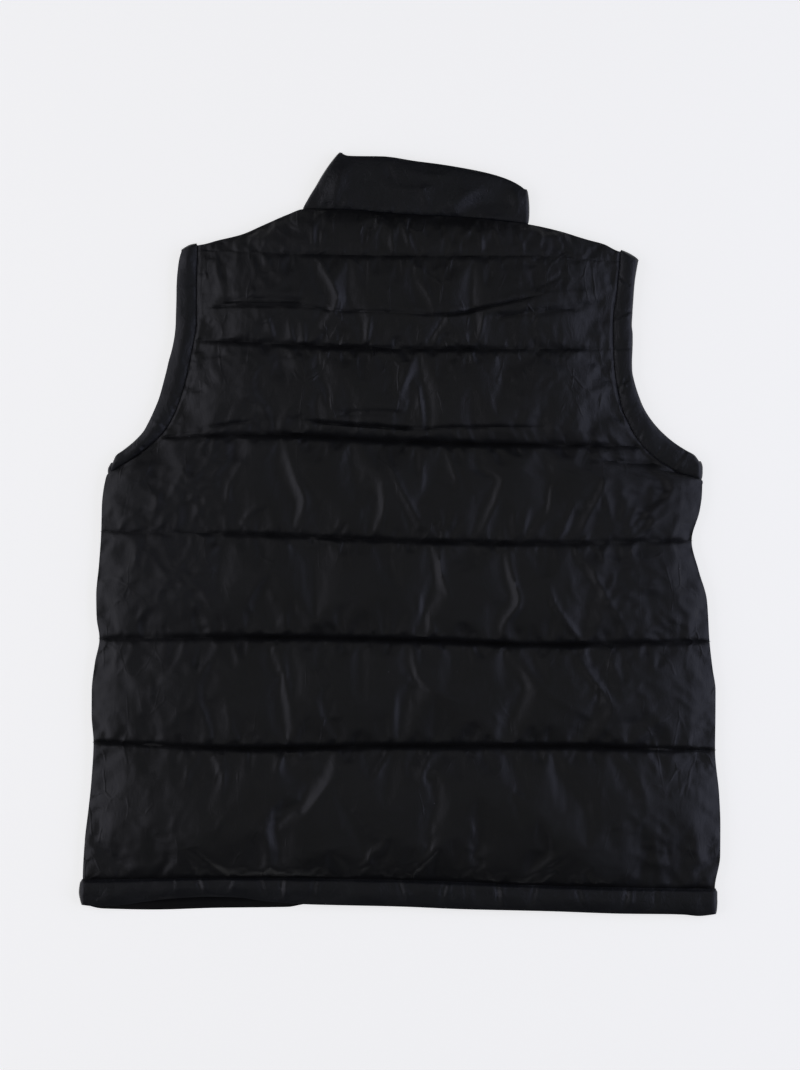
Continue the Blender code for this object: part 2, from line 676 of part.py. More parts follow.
def zip_pull(material):
    """Pull tab: a bar through the crown, two arms past it and the tab, which hangs down to the surface."""
    bar = slider_place()[2]
    reach = PULL_LENGTH - BAR_RADIUS
    tilt = math.asin((bar.z - PULL_THICK / 2 - FLOOR_CLEARANCE) / reach)
    half = PULL_THICK / 2
    eye_half = BAR_HALF_LENGTH - EYE_WALL
    wide, narrow = PULL_HALF_WIDTH, PULL_HALF_WIDTH - PULL_CORNER
    corner = -reach + PULL_CORNER
    outline = [(-wide, -PULL_ARM), (-wide, corner), (-narrow, -reach), (narrow, -reach), (wide, corner),
               (wide, -PULL_ARM), (BAR_HALF_LENGTH, BAR_RADIUS), (-BAR_HALF_LENGTH, BAR_RADIUS)]
    eye_end = -PULL_ARM + PULL_ARM_WALL
    eye = [(-eye_half, eye_end), (-eye_half, -BAR_RADIUS), (eye_half, -BAR_RADIUS), (eye_half, eye_end)]
    shape = bmesh.new()
    edges = []
    for loop in (outline, eye):
        corners = [shape.verts.new((x * MM, y * MM, -half * MM)) for x, y in loop]
        edges += [shape.edges.new((a, b)) for a, b in zip(corners, corners[1:] + corners[:1])]
    bmesh.ops.triangle_fill(shape, use_beauty=True, edges=edges)
    made = bmesh.ops.extrude_face_region(shape, geom=shape.faces[:])
    raised = [item for item in made["geom"] if isinstance(item, bmesh.types.BMVert)]
    bmesh.ops.translate(shape, vec=(0.0, 0.0, PULL_THICK * MM), verts=raised)
    bmesh.ops.recalc_face_normals(shape, faces=shape.faces)
    mesh = bpy.data.meshes.new("zip_pull")
    shape.to_mesh(mesh)
    shape.free()
    thing = new_object("zip_pull", mesh, material)
    thing.location = bar * MM
    thing.rotation_euler.x = tilt
    return thing


def main():
    clear_scene()
    shell = finish("black nylon", (0.012, 0.012, 0.014), 0.38)
    binding = finish("black nylon binding", (0.012, 0.012, 0.015), 0.42)
    lining = finish("black nylon collar", (0.013, 0.013, 0.016), 0.4)
    tape = finish("black zip tape", (0.01, 0.01, 0.011), 0.8)
    metal = finish("black zip metal", (0.02, 0.02, 0.022), 0.35, 0.9)
    _, back_plan = back_panel(shell)
    _, left_plan = front_panel(-1, shell)
    _, right_plan = front_panel(1, shell)
    for side, front_plan in ((-1, left_plan), (1, right_plan)):
        arm_binding(side, back_plan, binding)
        zip_tape(side, front_plan, tape)
    hem_band(back_plan, left_plan, right_plan, binding)
    collar(back_plan, left_plan, right_plan, lining)
    zip_slider(metal)
    zip_pull(metal)


main()
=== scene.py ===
"""Puffer vest laid flat and face down: its quilted cloth, bands, stitching and zip.

Sizes in the tables are in millimetres and are scaled to metres where a mesh is made. X runs across
the vest, Y runs from the hem to the collar, and Z is up, away from the surface that it lies on.
"""

import math
from collections import namedtuple

import bmesh
import bpy
import numpy as np
from bpy.props import FloatProperty, FloatVectorProperty, IntProperty, PointerProperty
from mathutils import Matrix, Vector
from mathutils.geometry import delaunay_2d_cdt


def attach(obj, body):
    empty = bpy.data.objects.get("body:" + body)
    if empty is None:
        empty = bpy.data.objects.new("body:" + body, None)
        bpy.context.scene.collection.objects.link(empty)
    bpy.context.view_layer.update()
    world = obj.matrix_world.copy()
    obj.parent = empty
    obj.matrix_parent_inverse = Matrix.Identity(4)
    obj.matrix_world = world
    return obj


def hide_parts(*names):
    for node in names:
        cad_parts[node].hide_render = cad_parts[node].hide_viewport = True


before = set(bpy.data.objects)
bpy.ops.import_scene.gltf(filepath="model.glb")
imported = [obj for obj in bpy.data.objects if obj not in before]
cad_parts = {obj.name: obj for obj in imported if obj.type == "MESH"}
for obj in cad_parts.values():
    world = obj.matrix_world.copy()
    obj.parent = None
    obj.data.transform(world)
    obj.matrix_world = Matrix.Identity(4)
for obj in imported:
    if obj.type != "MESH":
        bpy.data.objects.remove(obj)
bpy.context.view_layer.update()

bl_info = {
    "name": "Puffer vest",
    "version": (1, 0, 0),
    "blender": (4, 5, 0),
    "location": "View3D > Sidebar > Vest",
    "description": "Builds the cloth, stitching and zip of a quilted vest on its solids",
    "category": "Object",
}

MM = 0.001
BODY = "vest"
# Space that the solids leave between each other at the seams.
GAP = 0.3

# Quilting seams across the vest, from the hem up: heights at five stations from the left side to
# the right one, how deep the thread pulls in at each of them, the thickness that the stitching
# leaves, and how far a front's seam stays below the front's top edge.
Seam = namedtuple("Seam", "name heights pulls wall below_top")
STATIONS = (0.0, 0.25, 0.5, 0.75, 1.0)
SEAMS = (
    Seam("hem", (-337.0, -335.0, -337.0, -343.0, -346.0), (1.6, 2.2, 2.0, 2.2, 2.0), 3.2, 130.0),
    Seam("sixth", (-202.5, -208.0, -205.5, -205.6, -210.0), (1.8, 2.8, 3.0, 3.0, 1.6), 3.4, 117.0),
    Seam("fifth", (-101.0, -99.4, -102.0, -107.0, -104.0), (1.0, 2.4, 3.0, 2.6, 1.4), 3.4, 104.0),
    Seam("fourth", (3.4, 0.8, -5.4, -8.3, -5.5), (1.1, 1.6, 1.4, 0.9, 1.1), 4.8, 91.0),
    Seam("third", (96.0, 97.4, 91.3, 88.0, 87.0), (1.4, 2.8, 2.8, 3.0, 2.2), 3.2, 65.0),
    Seam("second", (190.0, 185.0, 181.0, 181.0, 181.0), (1.3, 1.1, 0.8, 0.4, 0.4), 4.4, 39.0),
    Seam("first", (277.0, 273.3, 271.8, 271.8, 267.0), (0.1, 0.7, 0.7, 0.4, 0.1), 5.2, 13.0),
)
# Number of the third seam, thickness of the panels at the neck, and heights of the underarms.
THIRD = 4
NECK_WALL = 3.4
LEFT_UNDERARM, RIGHT_UNDERARM = 60.0, 54.5

# Side edges of the panels, with y and x: the side seam up to the underarm, then the armhole seam.
LEFT_EDGE = (
    (-337.0, -309.9), (-298.0, -307.9), (-269.0, -304.5), (-240.0, -301.5), (-202.5, -299.4),
    (-175.0, -301.3), (-153.0, -301.2), (-125.0, -298.1), (-101.0, -293.6), (-80.0, -296.4),
    (-59.0, -296.8), (-30.0, -294.2), (3.4, -291.9), (30.0, -291.2), (42.0, -290.0),
    (53.0, -288.0), (60.0, -285.8), (65.0, -279.0), (68.5, -272.8), (87.0, -246.5),
    (104.0, -230.0), (125.0, -219.0), (151.0, -210.7), (181.0, -204.5), (210.0, -200.0),
    (246.0, -200.0), (283.0, -199.0),
)
RIGHT_EDGE = (
    (-346.0, 307.5), (-313.0, 312.8), (-284.0, 313.0), (-255.0, 311.9), (-210.0, 307.8),
    (-175.0, 308.2), (-152.0, 308.3), (-130.0, 305.3), (-104.0, 302.4), (-64.0, 299.9),
    (-35.0, 291.9), (-5.5, 284.9), (24.0, 292.8), (40.0, 295.0), (54.5, 295.4), (60.0, 276.5),
    (85.0, 240.5), (108.0, 225.0), (132.0, 216.0), (170.0, 210.3), (208.0, 209.4),
    (238.0, 212.9), (276.8, 216.0),
)
# Outer edges of the armhole bindings, with x and y, from the underarm to the shoulder.
LEFT_ARM_RIM = (
    (-283.4, 70.6), (-278.6, 76.6), (-263.4, 88.3), (-251.6, 100.0), (-244.9, 111.8),
    (-239.5, 123.5), (-234.9, 135.2), (-231.7, 146.9), (-228.6, 158.6), (-225.9, 170.3),
    (-222.6, 182.0), (-220.4, 193.7), (-219.2, 205.4), (-218.9, 217.0), (-218.5, 228.9),
    (-218.1, 248.4), (-216.0, 267.9), (-213.4, 277.4),
)
RIGHT_ARM_RIM = (
    (294.8, 72.2), (289.6, 76.8), (270.6, 88.3), (256.4, 100.0), (246.0, 111.8),
    (238.5, 123.5), (233.6, 135.2), (229.8, 146.9), (227.1, 158.6), (226.7, 170.3), (227.2, 182.0),
    (227.5, 193.7), (226.5, 205.4), (227.2, 217.0), (227.9, 228.9), (229.5, 248.4), (232.6, 267.0),
)
# Top edges, with x and y: shoulder seam, neck seam, shoulder seam.
BACK_TOP = (
    (-199.0, 283.0), (-176.0, 288.1), (-155.0, 293.2), (-133.0, 302.6), (-110.0, 312.6),
    (-94.0, 318.0), (-56.0, 317.5), (0.0, 313.0), (70.0, 309.5), (97.0, 306.5), (123.0, 303.6),
    (152.0, 297.6), (183.0, 288.3), (199.0, 284.0), (215.8, 276.8),
)
# Ends of the neck seam, lowest point and form of the front neck's scoop, and where the fronts end
# beside the zip: the distance from the middle, and the share of the way across.
LEFT_NECK_POINT, RIGHT_NECK_POINT = -94.0, 123.0
FRONT_NECK_HEIGHT, FRONT_NECK_POWER, FRONT_NECK_SQUARENESS = 245.0, 2.2, 0.8
CENTRE_HALF, CENTRE_SHARE = 10.0, 0.484

# The surface between the back and the fronts, which sinks towards the outline.
MIDDLE_HEIGHT, EDGE_HEIGHT, FRONT_SLACK = 12.5, 5.5, 1.5
Sink = namedtuple("Sink", "level ramp")
SIDE_SINK, HEM_SINK = Sink(12.0, 45.0), Sink(12.0, 45.0)
TOP_SINK, FRONT_NECK_SINK = Sink(6.0, 24.0), Sink(4.0, 40.0)
SLIDER_LIFT, SLIDER_LIFT_REACH = 1.8, 45.0

# Widths of the back and of one front, in metres, that their cells divide.
BACK_WIDTH, FRONT_WIDTH = 0.61, 0.29
# Walls of the padded panels at their edges, and how far in their cloth comes up to full height. At
# the sides of the back a first slope, whose reach depends on the height, takes it up by a share of
# the way, and a gentler one takes it up the rest.
SIDE_WALL, FACET_SHARE, SIDE_EASE = 1.8, 0.64, 46.0
SIDE_FACETS = (
    (-345.0, 78.0), (-250.0, 46.0), (-205.0, 36.0), (-150.0, 29.0), (0.0, 26.0), (80.0, 26.0),
)
FRONT_FACET = 28.0
ARM_WALL, ARM_FACET = 4.2, 52.0
ARM_FROM, ARM_FADE = 8.0, 24.0
TOP_ROLL = 10.0
ZIP_WALL, ZIP_ROLL = 3.4, 15.0
# How deep and how wide a slope is eased into the flat at its top.
EASE_DEPTH, EASE_WIDTH = 0.06, 0.13
# How high the back's cloth may stand, by the distance down from its top edge.
TOP_RISE = ((-6.0, 0.0), (0.0, 3.4), (3.5, 5.8), (7.0, 8.0), (12.0, 9.8), (25.0, 12.2), (45.0, 14.5),
            (80.0, 16.0))
# The same by the distance up from its hem seam.
HEM_RISE = ((-6.0, 0.0), (0.0, 3.2), (5.0, 7.8), (9.0, 10.7), (14.0, 12.7), (30.0, 14.2), (60.0, 15.4),
            (110.0, 16.0))
# Roundness of a channel, the width from which it is full, and how fast a narrower one loses height.
PUFF_POWER, FULL_CHANNEL, CHANNEL_POWER = 0.36, 62.0, 0.7

# How the back's cloth swells: frames, the farthest that it moves, and the settings of its cloth.
SWELL_FRAMES, MOST_SWELL = 20, 9.0
CLOTH = {
    "quality": 6, "mass": 0.05, "air_damping": 1.0, "tension_stiffness": 15.0,
    "compression_stiffness": 15.0, "shear_stiffness": 5.0, "bending_stiffness": 2.0,
}
# Angle from which an edge between two faces stays sharp.
SHARP_FROM = math.radians(40.0)
# Where the extra rows beside a seam and inside an edge lie, as a share of one step.
SEAM_LIP, EDGE_LIP = 0.45, 0.4
# How far from a seam the cloth can lift freely, and the share of the width at the sides where not.
FREE_REACH, HELD_SHARE = 2.4, 0.02
# Plain inside of a panel: the first row and the step of its points, and how crumpled it is.
INSIDE_FROM, INSIDE_STEP, INSIDE_CRUMPLE = 9, 12, 0.5
# The least that padding and cloth measure under a groove, and the least of a front.
LEAST_PADDING, LEAST_CLOTH, LEAST_FRONT = 0.4, 0.3, 0.6

# Creases in the cloth of the back, channel by channel: width over all, rise (a negative one is a
# trough) and the points that each follows.
Crease = namedtuple("Crease", "width rise path")


def laid_creases(rows):
    return tuple(Crease(width, rise, path) for width, rise, *path in rows)


CREASES = laid_creases((
    # shoulder channel
    (8, 1.2, (-84, 305), (-85, 278)),
    (7, 0.9, (-75, 299), (-76, 281)),
    (8, 1.2, (-14, 312), (-23, 297), (-33, 283)),
    (8, 1.4, (-8, 305), (-7, 274)),
    (9, 1.4, (3, 305), (8, 287), (14, 274)),
    (7, 1, (69, 298), (57, 287)),
    (8, 1.2, (78, 296), (79, 276)),
    (8, 1.2, (90, 305), (95, 291), (98, 278)),
    (7, 1, (113, 296), (120, 278)),
    (7, 1, (152, 289), (160, 278)),
    # upper chest channel
    (11, 1.6, (-180, 273), (-177, 253), (-170, 229)),
    (8, 1.2, (-146, 276), (-139, 253)),
    (11, 2.6, (-80, 270), (-63, 239), (-61, 226), (-74, 201)),
    (8, 1.4, (17, 249), (26, 237), (35, 220)),
    (8, 1.3, (-130, 214), (-122, 190)),
    (8, 1.3, (-109, 211), (-103, 185)),
    (9, 1.6, (-95, 209), (-95, 185)),
    (9, 1.4, (-29, 214), (-33, 185)),
    (8, 1.2, (82, 214), (75, 185)),
    (7, -1.2, (156, 263), (154, 251), (128, 239)),
    (6, -1.4, (43, 211), (28, 189)),
    # lower chest channel
    (14, 1.4, (-196, 180), (-199, 146)),
    (10, 1.6, (-166, 145), (-137, 129), (-127, 111)),
    (16, 1.9, (12, 170), (4, 151), (-2, 131)),
    (9, 1.8, (17, 146), (22, 106)),
    (12, 1.4, (205, 146), (176, 133)),
    (20, 1.6, (200, 120), (227, 96)),
    # underarm channel
    (8, 1.4, (-140, 87), (-156, 66), (-166, 45), (-167, 24)),
    (12, 2.3, (-112, 89), (-101, 55), (-92, 33), (-99, 13)),
    (9, 1.1, (-18, 66), (-16, 24), (-25, 0)),
    (8, 1.4, (-125, 33), (-145, 22), (-156, 7)),
    (8, 1.3, (-166, 73), (-183, 56)),
    (8, 1.6, (-204, 41), (-196, 24), (-188, 7)),
    (7, 1.2, (-244, 55), (-219, 46), (-199, 41)),
    (7, 1.2, (-234, 24), (-219, 46), (-206, 71)),
    (11, 2.4, (-14, 80), (1, 45), (24, 3)),
    (8, 1.3, (21, 77), (21, 39)),
    (8, 1.3, (48, 77), (59, 41)),
    (10, 1.5, (100, 54), (90, 25), (78, 0)),
    (8, 1.3, (112, 26), (111, -1)),
    (8, 1.3, (124, 28), (118, 0)),
    (8, 1.3, (149, 52), (145, 16)),
    (9, 1.6, (171, 35), (156, -1)),
    (11, 2.6, (205, 66), (192, 35), (176, 3)),
    (10, 2.2, (196, 50), (205, 16), (207, 3)),
    (9, 1.6, (232, 35), (223, 12), (216, -3)),
    (9, 2.4, (281, 48), (256, 32), (222, 4)),
    (8, 1.8, (262, 22), (246, 10), (227, -3)),
    (7, 1.2, (37, 28), (41, 0)),
    (7, 1.2, (53, 30), (48, 0)),
    (8, -1.3, (183, 74), (220, 71), (256, 69)),
    # upper waist channel
    (9, 1.6, (-201, -5), (-213, -29), (-236, -40)),
    (8, 1.3, (-168, -1), (-192, -23)),
    (10, 0.9, (-120, -25), (-141, -52), (-147, -69), (-132, -90)),
    (9, 1.3, (-213, -36), (-183, -63)),
    (8, 1.2, (-204, -61), (-188, -80)),
    (8, 1.3, (-112, -74), (-112, -94)),
    (10, 2.2, (37, -13), (41, -40), (48, -60)),
    (8, 1.4, (19, -55), (17, -82)),
    (8, 1.3, (27, -76), (34, -98)),
    (11, 2.8, (104, -13), (109, -40), (116, -64), (102, -86), (100, -100)),
    (10, 2.4, (142, -41), (151, -69), (178, -105)),
    (11, 2.6, (176, -19), (194, -48), (211, -78), (225, -102)),
    (7, 1.2, (196, -15), (199, -33)),
    (18, 1.6, (258, -54), (270, -93)),
    # lower waist channel
    (10, 0.8, (-122, -109), (-112, -134), (-107, -166), (-104, -203)),
    (15, 1.3, (-96, -150), (-81, -166), (-74, -192)),
    (8, 1.2, (-160, -107), (-154, -130)),
    (8, 1.2, (-177, -112), (-194, -134)),
    (9, 1.4, (-196, -160), (-183, -199)),
    (8, 1.3, (-168, -163), (-164, -196)),
    (8, 1.2, (-241, -139), (-241, -166)),
    (8, 0.7, (-5, -154), (-9, -203)),
    (10, 1.8, (14, -110), (17, -136), (33, -150), (50, -159)),
    (20, 1.3, (104, -112), (142, -152), (183, -177), (216, -202)),
    (10, 2.4, (171, -117), (192, -146), (211, -172)),
    (8, 1.3, (201, -119), (216, -139)),
    (22, -2.4, (211, -183), (243, -183)),
    # hip channel
    (9, 1.4, (-183, -211), (-172, -234), (-177, -255)),
    (8, 1.2, (-203, -221), (-210, -246)),
    (8, 1.2, (-114, -215), (-122, -230)),
    (16, 2.2, (-58, -228), (-76, -251), (-92, -272)),
    (9, 1.4, (-12, -213), (-27, -239)),
    (18, 1.3, (-124, -262), (-141, -283), (-130, -293), (-128, -315), (-133, -333)),
    (8, 1.2, (-217, -272), (-223, -289)),
    (8, -1.4, (-215, -298), (-172, -331)),
    (8, -1.3, (-297, -302), (-261, -331)),
    (7, 1.1, (-168, -268), (-179, -289)),
    (9, 1.5, (-9, -285), (-18, -306), (-27, -310), (-40, -333)),
    (9, 1.4, (30, -212), (21, -233), (26, -250)),
    (17, 1.6, (218, -219), (234, -242), (239, -269), (227, -289)),
    (8, 1.3, (245, -217), (252, -235)),
    (9, 1.5, (245, -295), (252, -329)),
    (7, -1.2, (258, -295), (264, -329)),
    (9, 1.5, (161, -309), (120, -336)),
    (8, 1.3, (167, -316), (133, -338)),
    (9, 1.4, (43, -295), (12, -331)),
    (18, 1.6, (285, -281), (293, -325)),
))
# How strongly the creases show before the cloth swells and after it, how much narrower they are
# then, the half width of a ridge as a share of its crease's width, and how steep its flanks are.
START_CREASES, CREASE_SHARE, CREASE_NARROWING = 0.58, 0.5, 0.62
RIDGE_SHARE, RIDGE_POWER = 0.36, 1.5
# Long folds where the cloth lies double: width, depth, the lip above the fold, and its points.
LongFold = namedtuple("LongFold", "width depth lip path")
LONG_FOLDS = (
    LongFold(5.2, 2.6, 0.8, ((-181, 227.4), (-140, 228.6), (-86, 227.0))),
    LongFold(7.0, 2.2, 1.0, ((82, 211), (147, 218), (205, 228))),
    LongFold(6.0, 1.4, 0.6, ((-66, 118), (-20, 119), (8, 117))),
    LongFold(6.0, 1.8, 0.6, ((183, 74), (220, 71), (256, 69))),
    LongFold(6.0, 1.4, 0.5, ((-222, 151), (-206, 144), (-186, 141))),
)
# Long folds that rows of the mesh follow, so that they stay sharp, by the number of the channel that
# each crosses: its x and y, and its x and depth.
Guide = namedtuple("Guide", "path depths")
GUIDES = {
    4: Guide(((-240.0, 107.0), (-192.0, 103.0), (-168.0, 106.0), (-148.0, 109.0), (-95.0, 111.0),
              (-77.0, 110.0), (-40.0, 107.0), (10.0, 104.0), (80.0, 104.8), (160.0, 104.0),
              (240.0, 106.0)),
             ((-240.0, 0.0), (-196.0, 0.0), (-180.0, 1.6), (-155.0, 1.4), (-140.0, 0.0), (-100.0, 0.0),
              (-80.0, 2.2), (-30.0, 2.4), (6.0, 2.4), (16.0, 0.8), (60.0, 1.6), (120.0, 1.2),
              (150.0, 0.0), (240.0, 0.0))),
    5: Guide(((-205.0, 222.0), (-150.0, 222.6), (-100.0, 222.0), (-60.0, 218.0), (-10.0, 216.6),
              (40.0, 214.0), (90.0, 223.0), (140.0, 234.0), (215.0, 240.0)),
             ((-205.0, 0.0), (-190.0, 0.4), (-170.0, 1.9), (-110.0, 1.7), (-90.0, 1.2), (-50.0, 1.0),
              (-10.0, 1.2), (6.0, 0.6), (30.0, 1.2), (90.0, 2.0), (125.0, 1.2), (150.0, 0.0),
              (215.0, 0.0))),
}
# Half width of those folds, and the rise and reach of the lip above them.
FOLD_HALF, LIP_RISE, LIP_REACH = 1.6, 0.28, 4.2
# Places where several short creases fan out from a quilting seam: the seam's number and x.
FANS = (
    (4, 15.0), (4, 62.0), (4, -100.0), (3, 42.0), (3, 104.0), (3, 222.0), (3, -72.0), (2, 30.0),
    (2, -122.0), (2, 176.0), (1, -104.0), (5, -60.0), (5, 68.0), (5, -95.0), (7, 4.0), (7, 24.0),
    (7, -22.0),
)
# Puckers that run in from the back's sides, with the heights between which they start, and the
# share of the way along at which they are highest, and the same share for those of the seams.
SIDE_PUCKERS = (LEFT_EDGE, 1.0, -330.0, 275.0), (RIGHT_EDGE, -1.0, -338.0, 265.0)
SIDE_PUCKER_PEAK, SEAM_PUCKER_PEAK = 0.3, 0.12
# Small creases scattered over the back: the x between which they lie, and their number.
SCATTERED = (-300.0, 308.0, 320)
# Creases of one front: their number, and the ends of the lines from which seam puckers run.
FRONT_CREASES, FRONT_ENDS = 70, (-300.0, 316.0)
# Small unevenness of the cloth: height, wavelength, and how much longer it is in y than in x.
Ripple = namedtuple("Ripple", "height wave stretch", defaults=(1.0,))
START_RIPPLE, FRONT_RIPPLE = Ripple(0.35, 38.0, 1.5), Ripple(0.8, 44.0, 1.4)
BROAD_RIPPLE, FINE_RIPPLE = Ripple(0.35, 46.0, 1.4), Ripple(0.22, 13.0, 1.5)
# Crumpled cloth beside the side seams: height of its flat faces and the distance of their ridges.
SIDE_FACES = ((1.0, 24.0), (0.9, 13.0))
# How strongly the cloth is crumpled, by the distance from its side edge and by height.
CRUMPLE_REACH = (
    (0.0, 0.15), (14.0, 0.5), (32.0, 1.0), (75.0, 1.0), (105.0, 0.6), (135.0, 0.2), (170.0, 0.0),
)
CRUMPLE_HEIGHTS = (
    (-340.0, 0.5), (-290.0, 0.4), (-215.0, 0.25), (-165.0, 0.8), (-100.0, 0.8), (-55.0, 1.35),
    (80.0, 1.35), (130.0, 0.6), (250.0, 0.6), (280.0, 1.0), (320.0, 1.0),
)
# How much duller the cloth is for a crumple of 1, and the crumple from which it gets no duller.
HAZE, MOST_HAZE = 0.13, 1.4
# Half width of the groove along the quilting seams, depth and half width of the armhole seams'
# groove, and how far beside it the cloth is flattened: by how much, from where and how far in.
GROOVE_HALF = 1.9
ARM_GROOVE, ARM_GROOVE_HALF = 3.0, 2.8
ARM_FLATTEN, FLATTEN_FROM, FLATTEN_REACH = 1.9, 10.0, 40.0
# Above the third seam the cloth slopes down evenly: how far up, at places from left to right.
VALLEY = (
    (0.0, 0.0), (0.08, 1.0), (0.15, 6.5), (0.22, 8.5), (0.3, 9.0), (0.36, 8.5), (0.45, 5.0),
    (0.52, 7.0), (0.66, 8.0), (0.76, 8.5), (0.86, 7.5), (0.93, 4.0), (1.0, 0.0),
)

# Bands that finish the edges: their thickness, how far they lie from their seam lines, how far the
# bindings are tucked in at the underarm, and the collar's height at the front.
BINDING_THICK, HEM_THICK, COLLAR_THICK, FOLD_THICK = 4.6, 5.0, 6.6, 3.2
BAND_LAP, HEM_LIFT = 0.8, 0.6
UNDERARM_TUCK = 2.6
COLLAR_HEIGHT = 53.0
# Share of a band's thickness by the share of the way from its seam to its outer edge.
CROWN = (
    (0.0, 0.26), (0.04, 0.52), (0.1, 0.74), (0.2, 0.88), (0.32, 0.96), (0.44, 1.0), (0.52, 0.98),
    (0.6, 0.91), (0.7, 0.81), (0.8, 0.69), (0.9, 0.55), (1.0, 0.37),
)
LEFT_CROWN = (
    (0.0, 0.52), (0.04, 0.6), (0.1, 0.69), (0.2, 0.82), (0.34, 0.95), (0.44, 1.0), (0.52, 0.98),
    (0.6, 0.91), (0.7, 0.81), (0.8, 0.69), (0.9, 0.55), (1.0, 0.37),
)
RIGHT_CROWN = (
    (0.0, 0.48), (0.04, 0.56), (0.1, 0.66), (0.2, 0.8), (0.34, 0.94), (0.46, 1.0), (0.6, 1.0),
    (0.74, 0.96), (0.82, 0.88), (0.9, 0.74), (0.96, 0.56), (1.0, 0.37),
)
COLLAR_CROWN = (
    (0.0, 0.26), (0.015, 0.46), (0.05, 0.62), (0.15, 0.8), (0.3, 0.93), (0.5, 1.0), (0.72, 0.96),
    (0.87, 0.86), (0.95, 0.74), (1.0, 0.56),
)
# Shares from the seam to the edge at which a band has points, and those of its inside.
OUTER_SHARES = (0.42, 0.52, 0.62, 0.72, 0.8, 0.87, 0.92, 0.96, 1.0)
BINDING_SHARES = (0.0, 0.03, 0.08, 0.12, 0.17, 0.24, 0.32, *OUTER_SHARES)
HEM_SHARES = (0.0, 0.03, 0.06, 0.09, 0.13, 0.18, 0.25, 0.33, *OUTER_SHARES)
COLLAR_SHARES = (0.0, 0.012, 0.03, *np.linspace(0.06, 0.94, 26), 0.97, 0.988, 1.0)
INNER_SHARES = (1.0, 0.9, 0.8, 0.7, 0.6, 0.33, 0.0)
# How far the fronts' hem bends down at its edge, and the part of its width that bends.
HEM_DROP, BEND_FROM, BEND_REACH = 5.2, 0.7, 0.3
# Angles of the sections round a fold, and the length along a band that a turn of 1 counts for.
FOLD_ANGLES = (18.0, 36.0, 54.0, 72.0, 90.0, 108.0, 126.0, 144.0, 162.0)
TURN_LENGTH = 3.0
# Outer edges of the hem band over the back and under the fronts, with x and y.
HEM_EDGE = (
    (-309.9, -361.5), (-292.0, -363.0), (-268.0, -361.0), (-240.0, -357.0), (-214.0, -354.6),
    (-187.0, -353.4), (-160.0, -354.0), (-134.0, -357.4), (-107.0, -360.0), (-85.0, -361.0),
    (0.0, -363.0), (60.0, -365.5), (147.0, -367.6), (219.0, -370.0), (272.0, -370.6), (286.0, -371.7),
    (300.0, -372.6), (307.5, -370.5),
)
FRONT_HEM_EDGE = (
    (-309.9, -361.5), (-300.0, -365.5), (-240.0, -367.0), (-180.0, -365.3), (-110.0, -364.4),
    (-84.0, -360.5), (0.0, -360.0), (180.0, -365.0), (285.0, -368.0), (307.0, -366.0),
)
# The collar's outer edge: share of the way along the neck seam, x and y.
COLLAR_EDGE = (
    (0.0, -57.0, 373.0), (0.06, -50.0, 370.4), (0.25, -16.0, 369.6), (0.4, 14.0, 365.2),
    (0.55, 46.0, 360.9), (0.8, 92.0, 351.7), (0.93, 113.0, 343.8), (1.0, 122.0, 337.6),
)
# Unevenness of the bands, broad and fine.
BINDING_RIPPLES = Ripple(0.9, 16.0), Ripple(0.35, 7.0)
HEM_RIPPLES = Ripple(1.0, 17.0), Ripple(0.35, 7.0)
COLLAR_RIPPLES = Ripple(0.9, 34.0, 0.7), Ripple(0.35, 12.0)
# Tucks across the bindings: their number and half width, and the height, distance and half width of
# the lip beside each.
TUCKS, TUCK_HALF, TUCK_LIP = 60, 1.7, (0.6, 3.4, 2.2)
# Where the hem band puckers, half width of a pucker, and height, distance and half width of its lip.
HEM_PUCKERS = (
    -222.0, -195.0, -168.0, -134.0, -116.0, -85.0, 2.0, 41.0, 65.0, 96.0, 129.0, 176.0, 220.0, 249.0,
)
PUCKER_HALF, PUCKER_LIP = 2.3, (0.7, 4.4, 2.8)
# Depth of the hem band's groove, and its place and half width as shares of the band.
HEM_GROOVE = (0.7, 0.06, 0.03)
COLLAR_CREASES = laid_creases((
    (19.0, 2.6, (36.0, 315.0), (56.0, 326.0), (82.0, 340.0)),
    (24.0, -3.0, (58.0, 317.0), (76.0, 324.0), (100.0, 326.0), (118.0, 320.0)),
    (11.0, 1.6, (66.0, 309.0), (92.0, 309.0), (118.0, 307.0)),
    (24.0, 3.2, (-68.0, 322.0), (-60.0, 345.0), (-52.0, 366.0)),
    (20.0, 2.4, (112.0, 310.0), (114.0, 326.0), (110.0, 340.0)),
    (9.0, 1.2, (-78.0, 324.0), (-60.0, 330.0)),
    (9.0, 1.3, (30.0, 318.0), (22.0, 334.0), (26.0, 342.0)),
    (10.0, 1.2, (-20.0, 340.0), (16.0, 336.0), (40.0, 342.0)),
    (12.0, 1.0, (0.0, 358.0), (30.0, 350.0), (58.0, 352.0)),
    (8.0, -1.0, (-14.0, 362.0), (-6.0, 344.0)),
))

# Front zip, with the slider just under the collar's upper edge. A tape's section is in x and z.
TAPE_HALF, TAPE_STEP = 0.6, 3.0
TAPE_SECTION = (
    (GAP, -0.6 * TAPE_HALF), (1.2, -TAPE_HALF), (4.2, -TAPE_HALF), (4.8, -0.5 * TAPE_HALF),
    (5.4, -TAPE_HALF), (9.7, -TAPE_HALF), (9.7, TAPE_HALF), (5.4, TAPE_HALF), (4.8, 0.5 * TAPE_HALF),
    (4.2, TAPE_HALF), (1.2, TAPE_HALF), (GAP, 0.6 * TAPE_HALF),
)
ZIP_DROP, ZIP_BOTTOM, ZIP_TOP = 1.7, -363.0, 292.0
SLIDER_TOP, SLIDER_LENGTH = 287.0, 14.0
# Teeth: distance from the middle, first one's place, shift of the right row, reach and thickness.
TEETH_X, TEETH_FROM, TEETH_SHIFT = 3.0, 2.0, 1.5
TOOTH_REACH, TOOTH_THICK = 2.8 * MM, 2.7 * MM
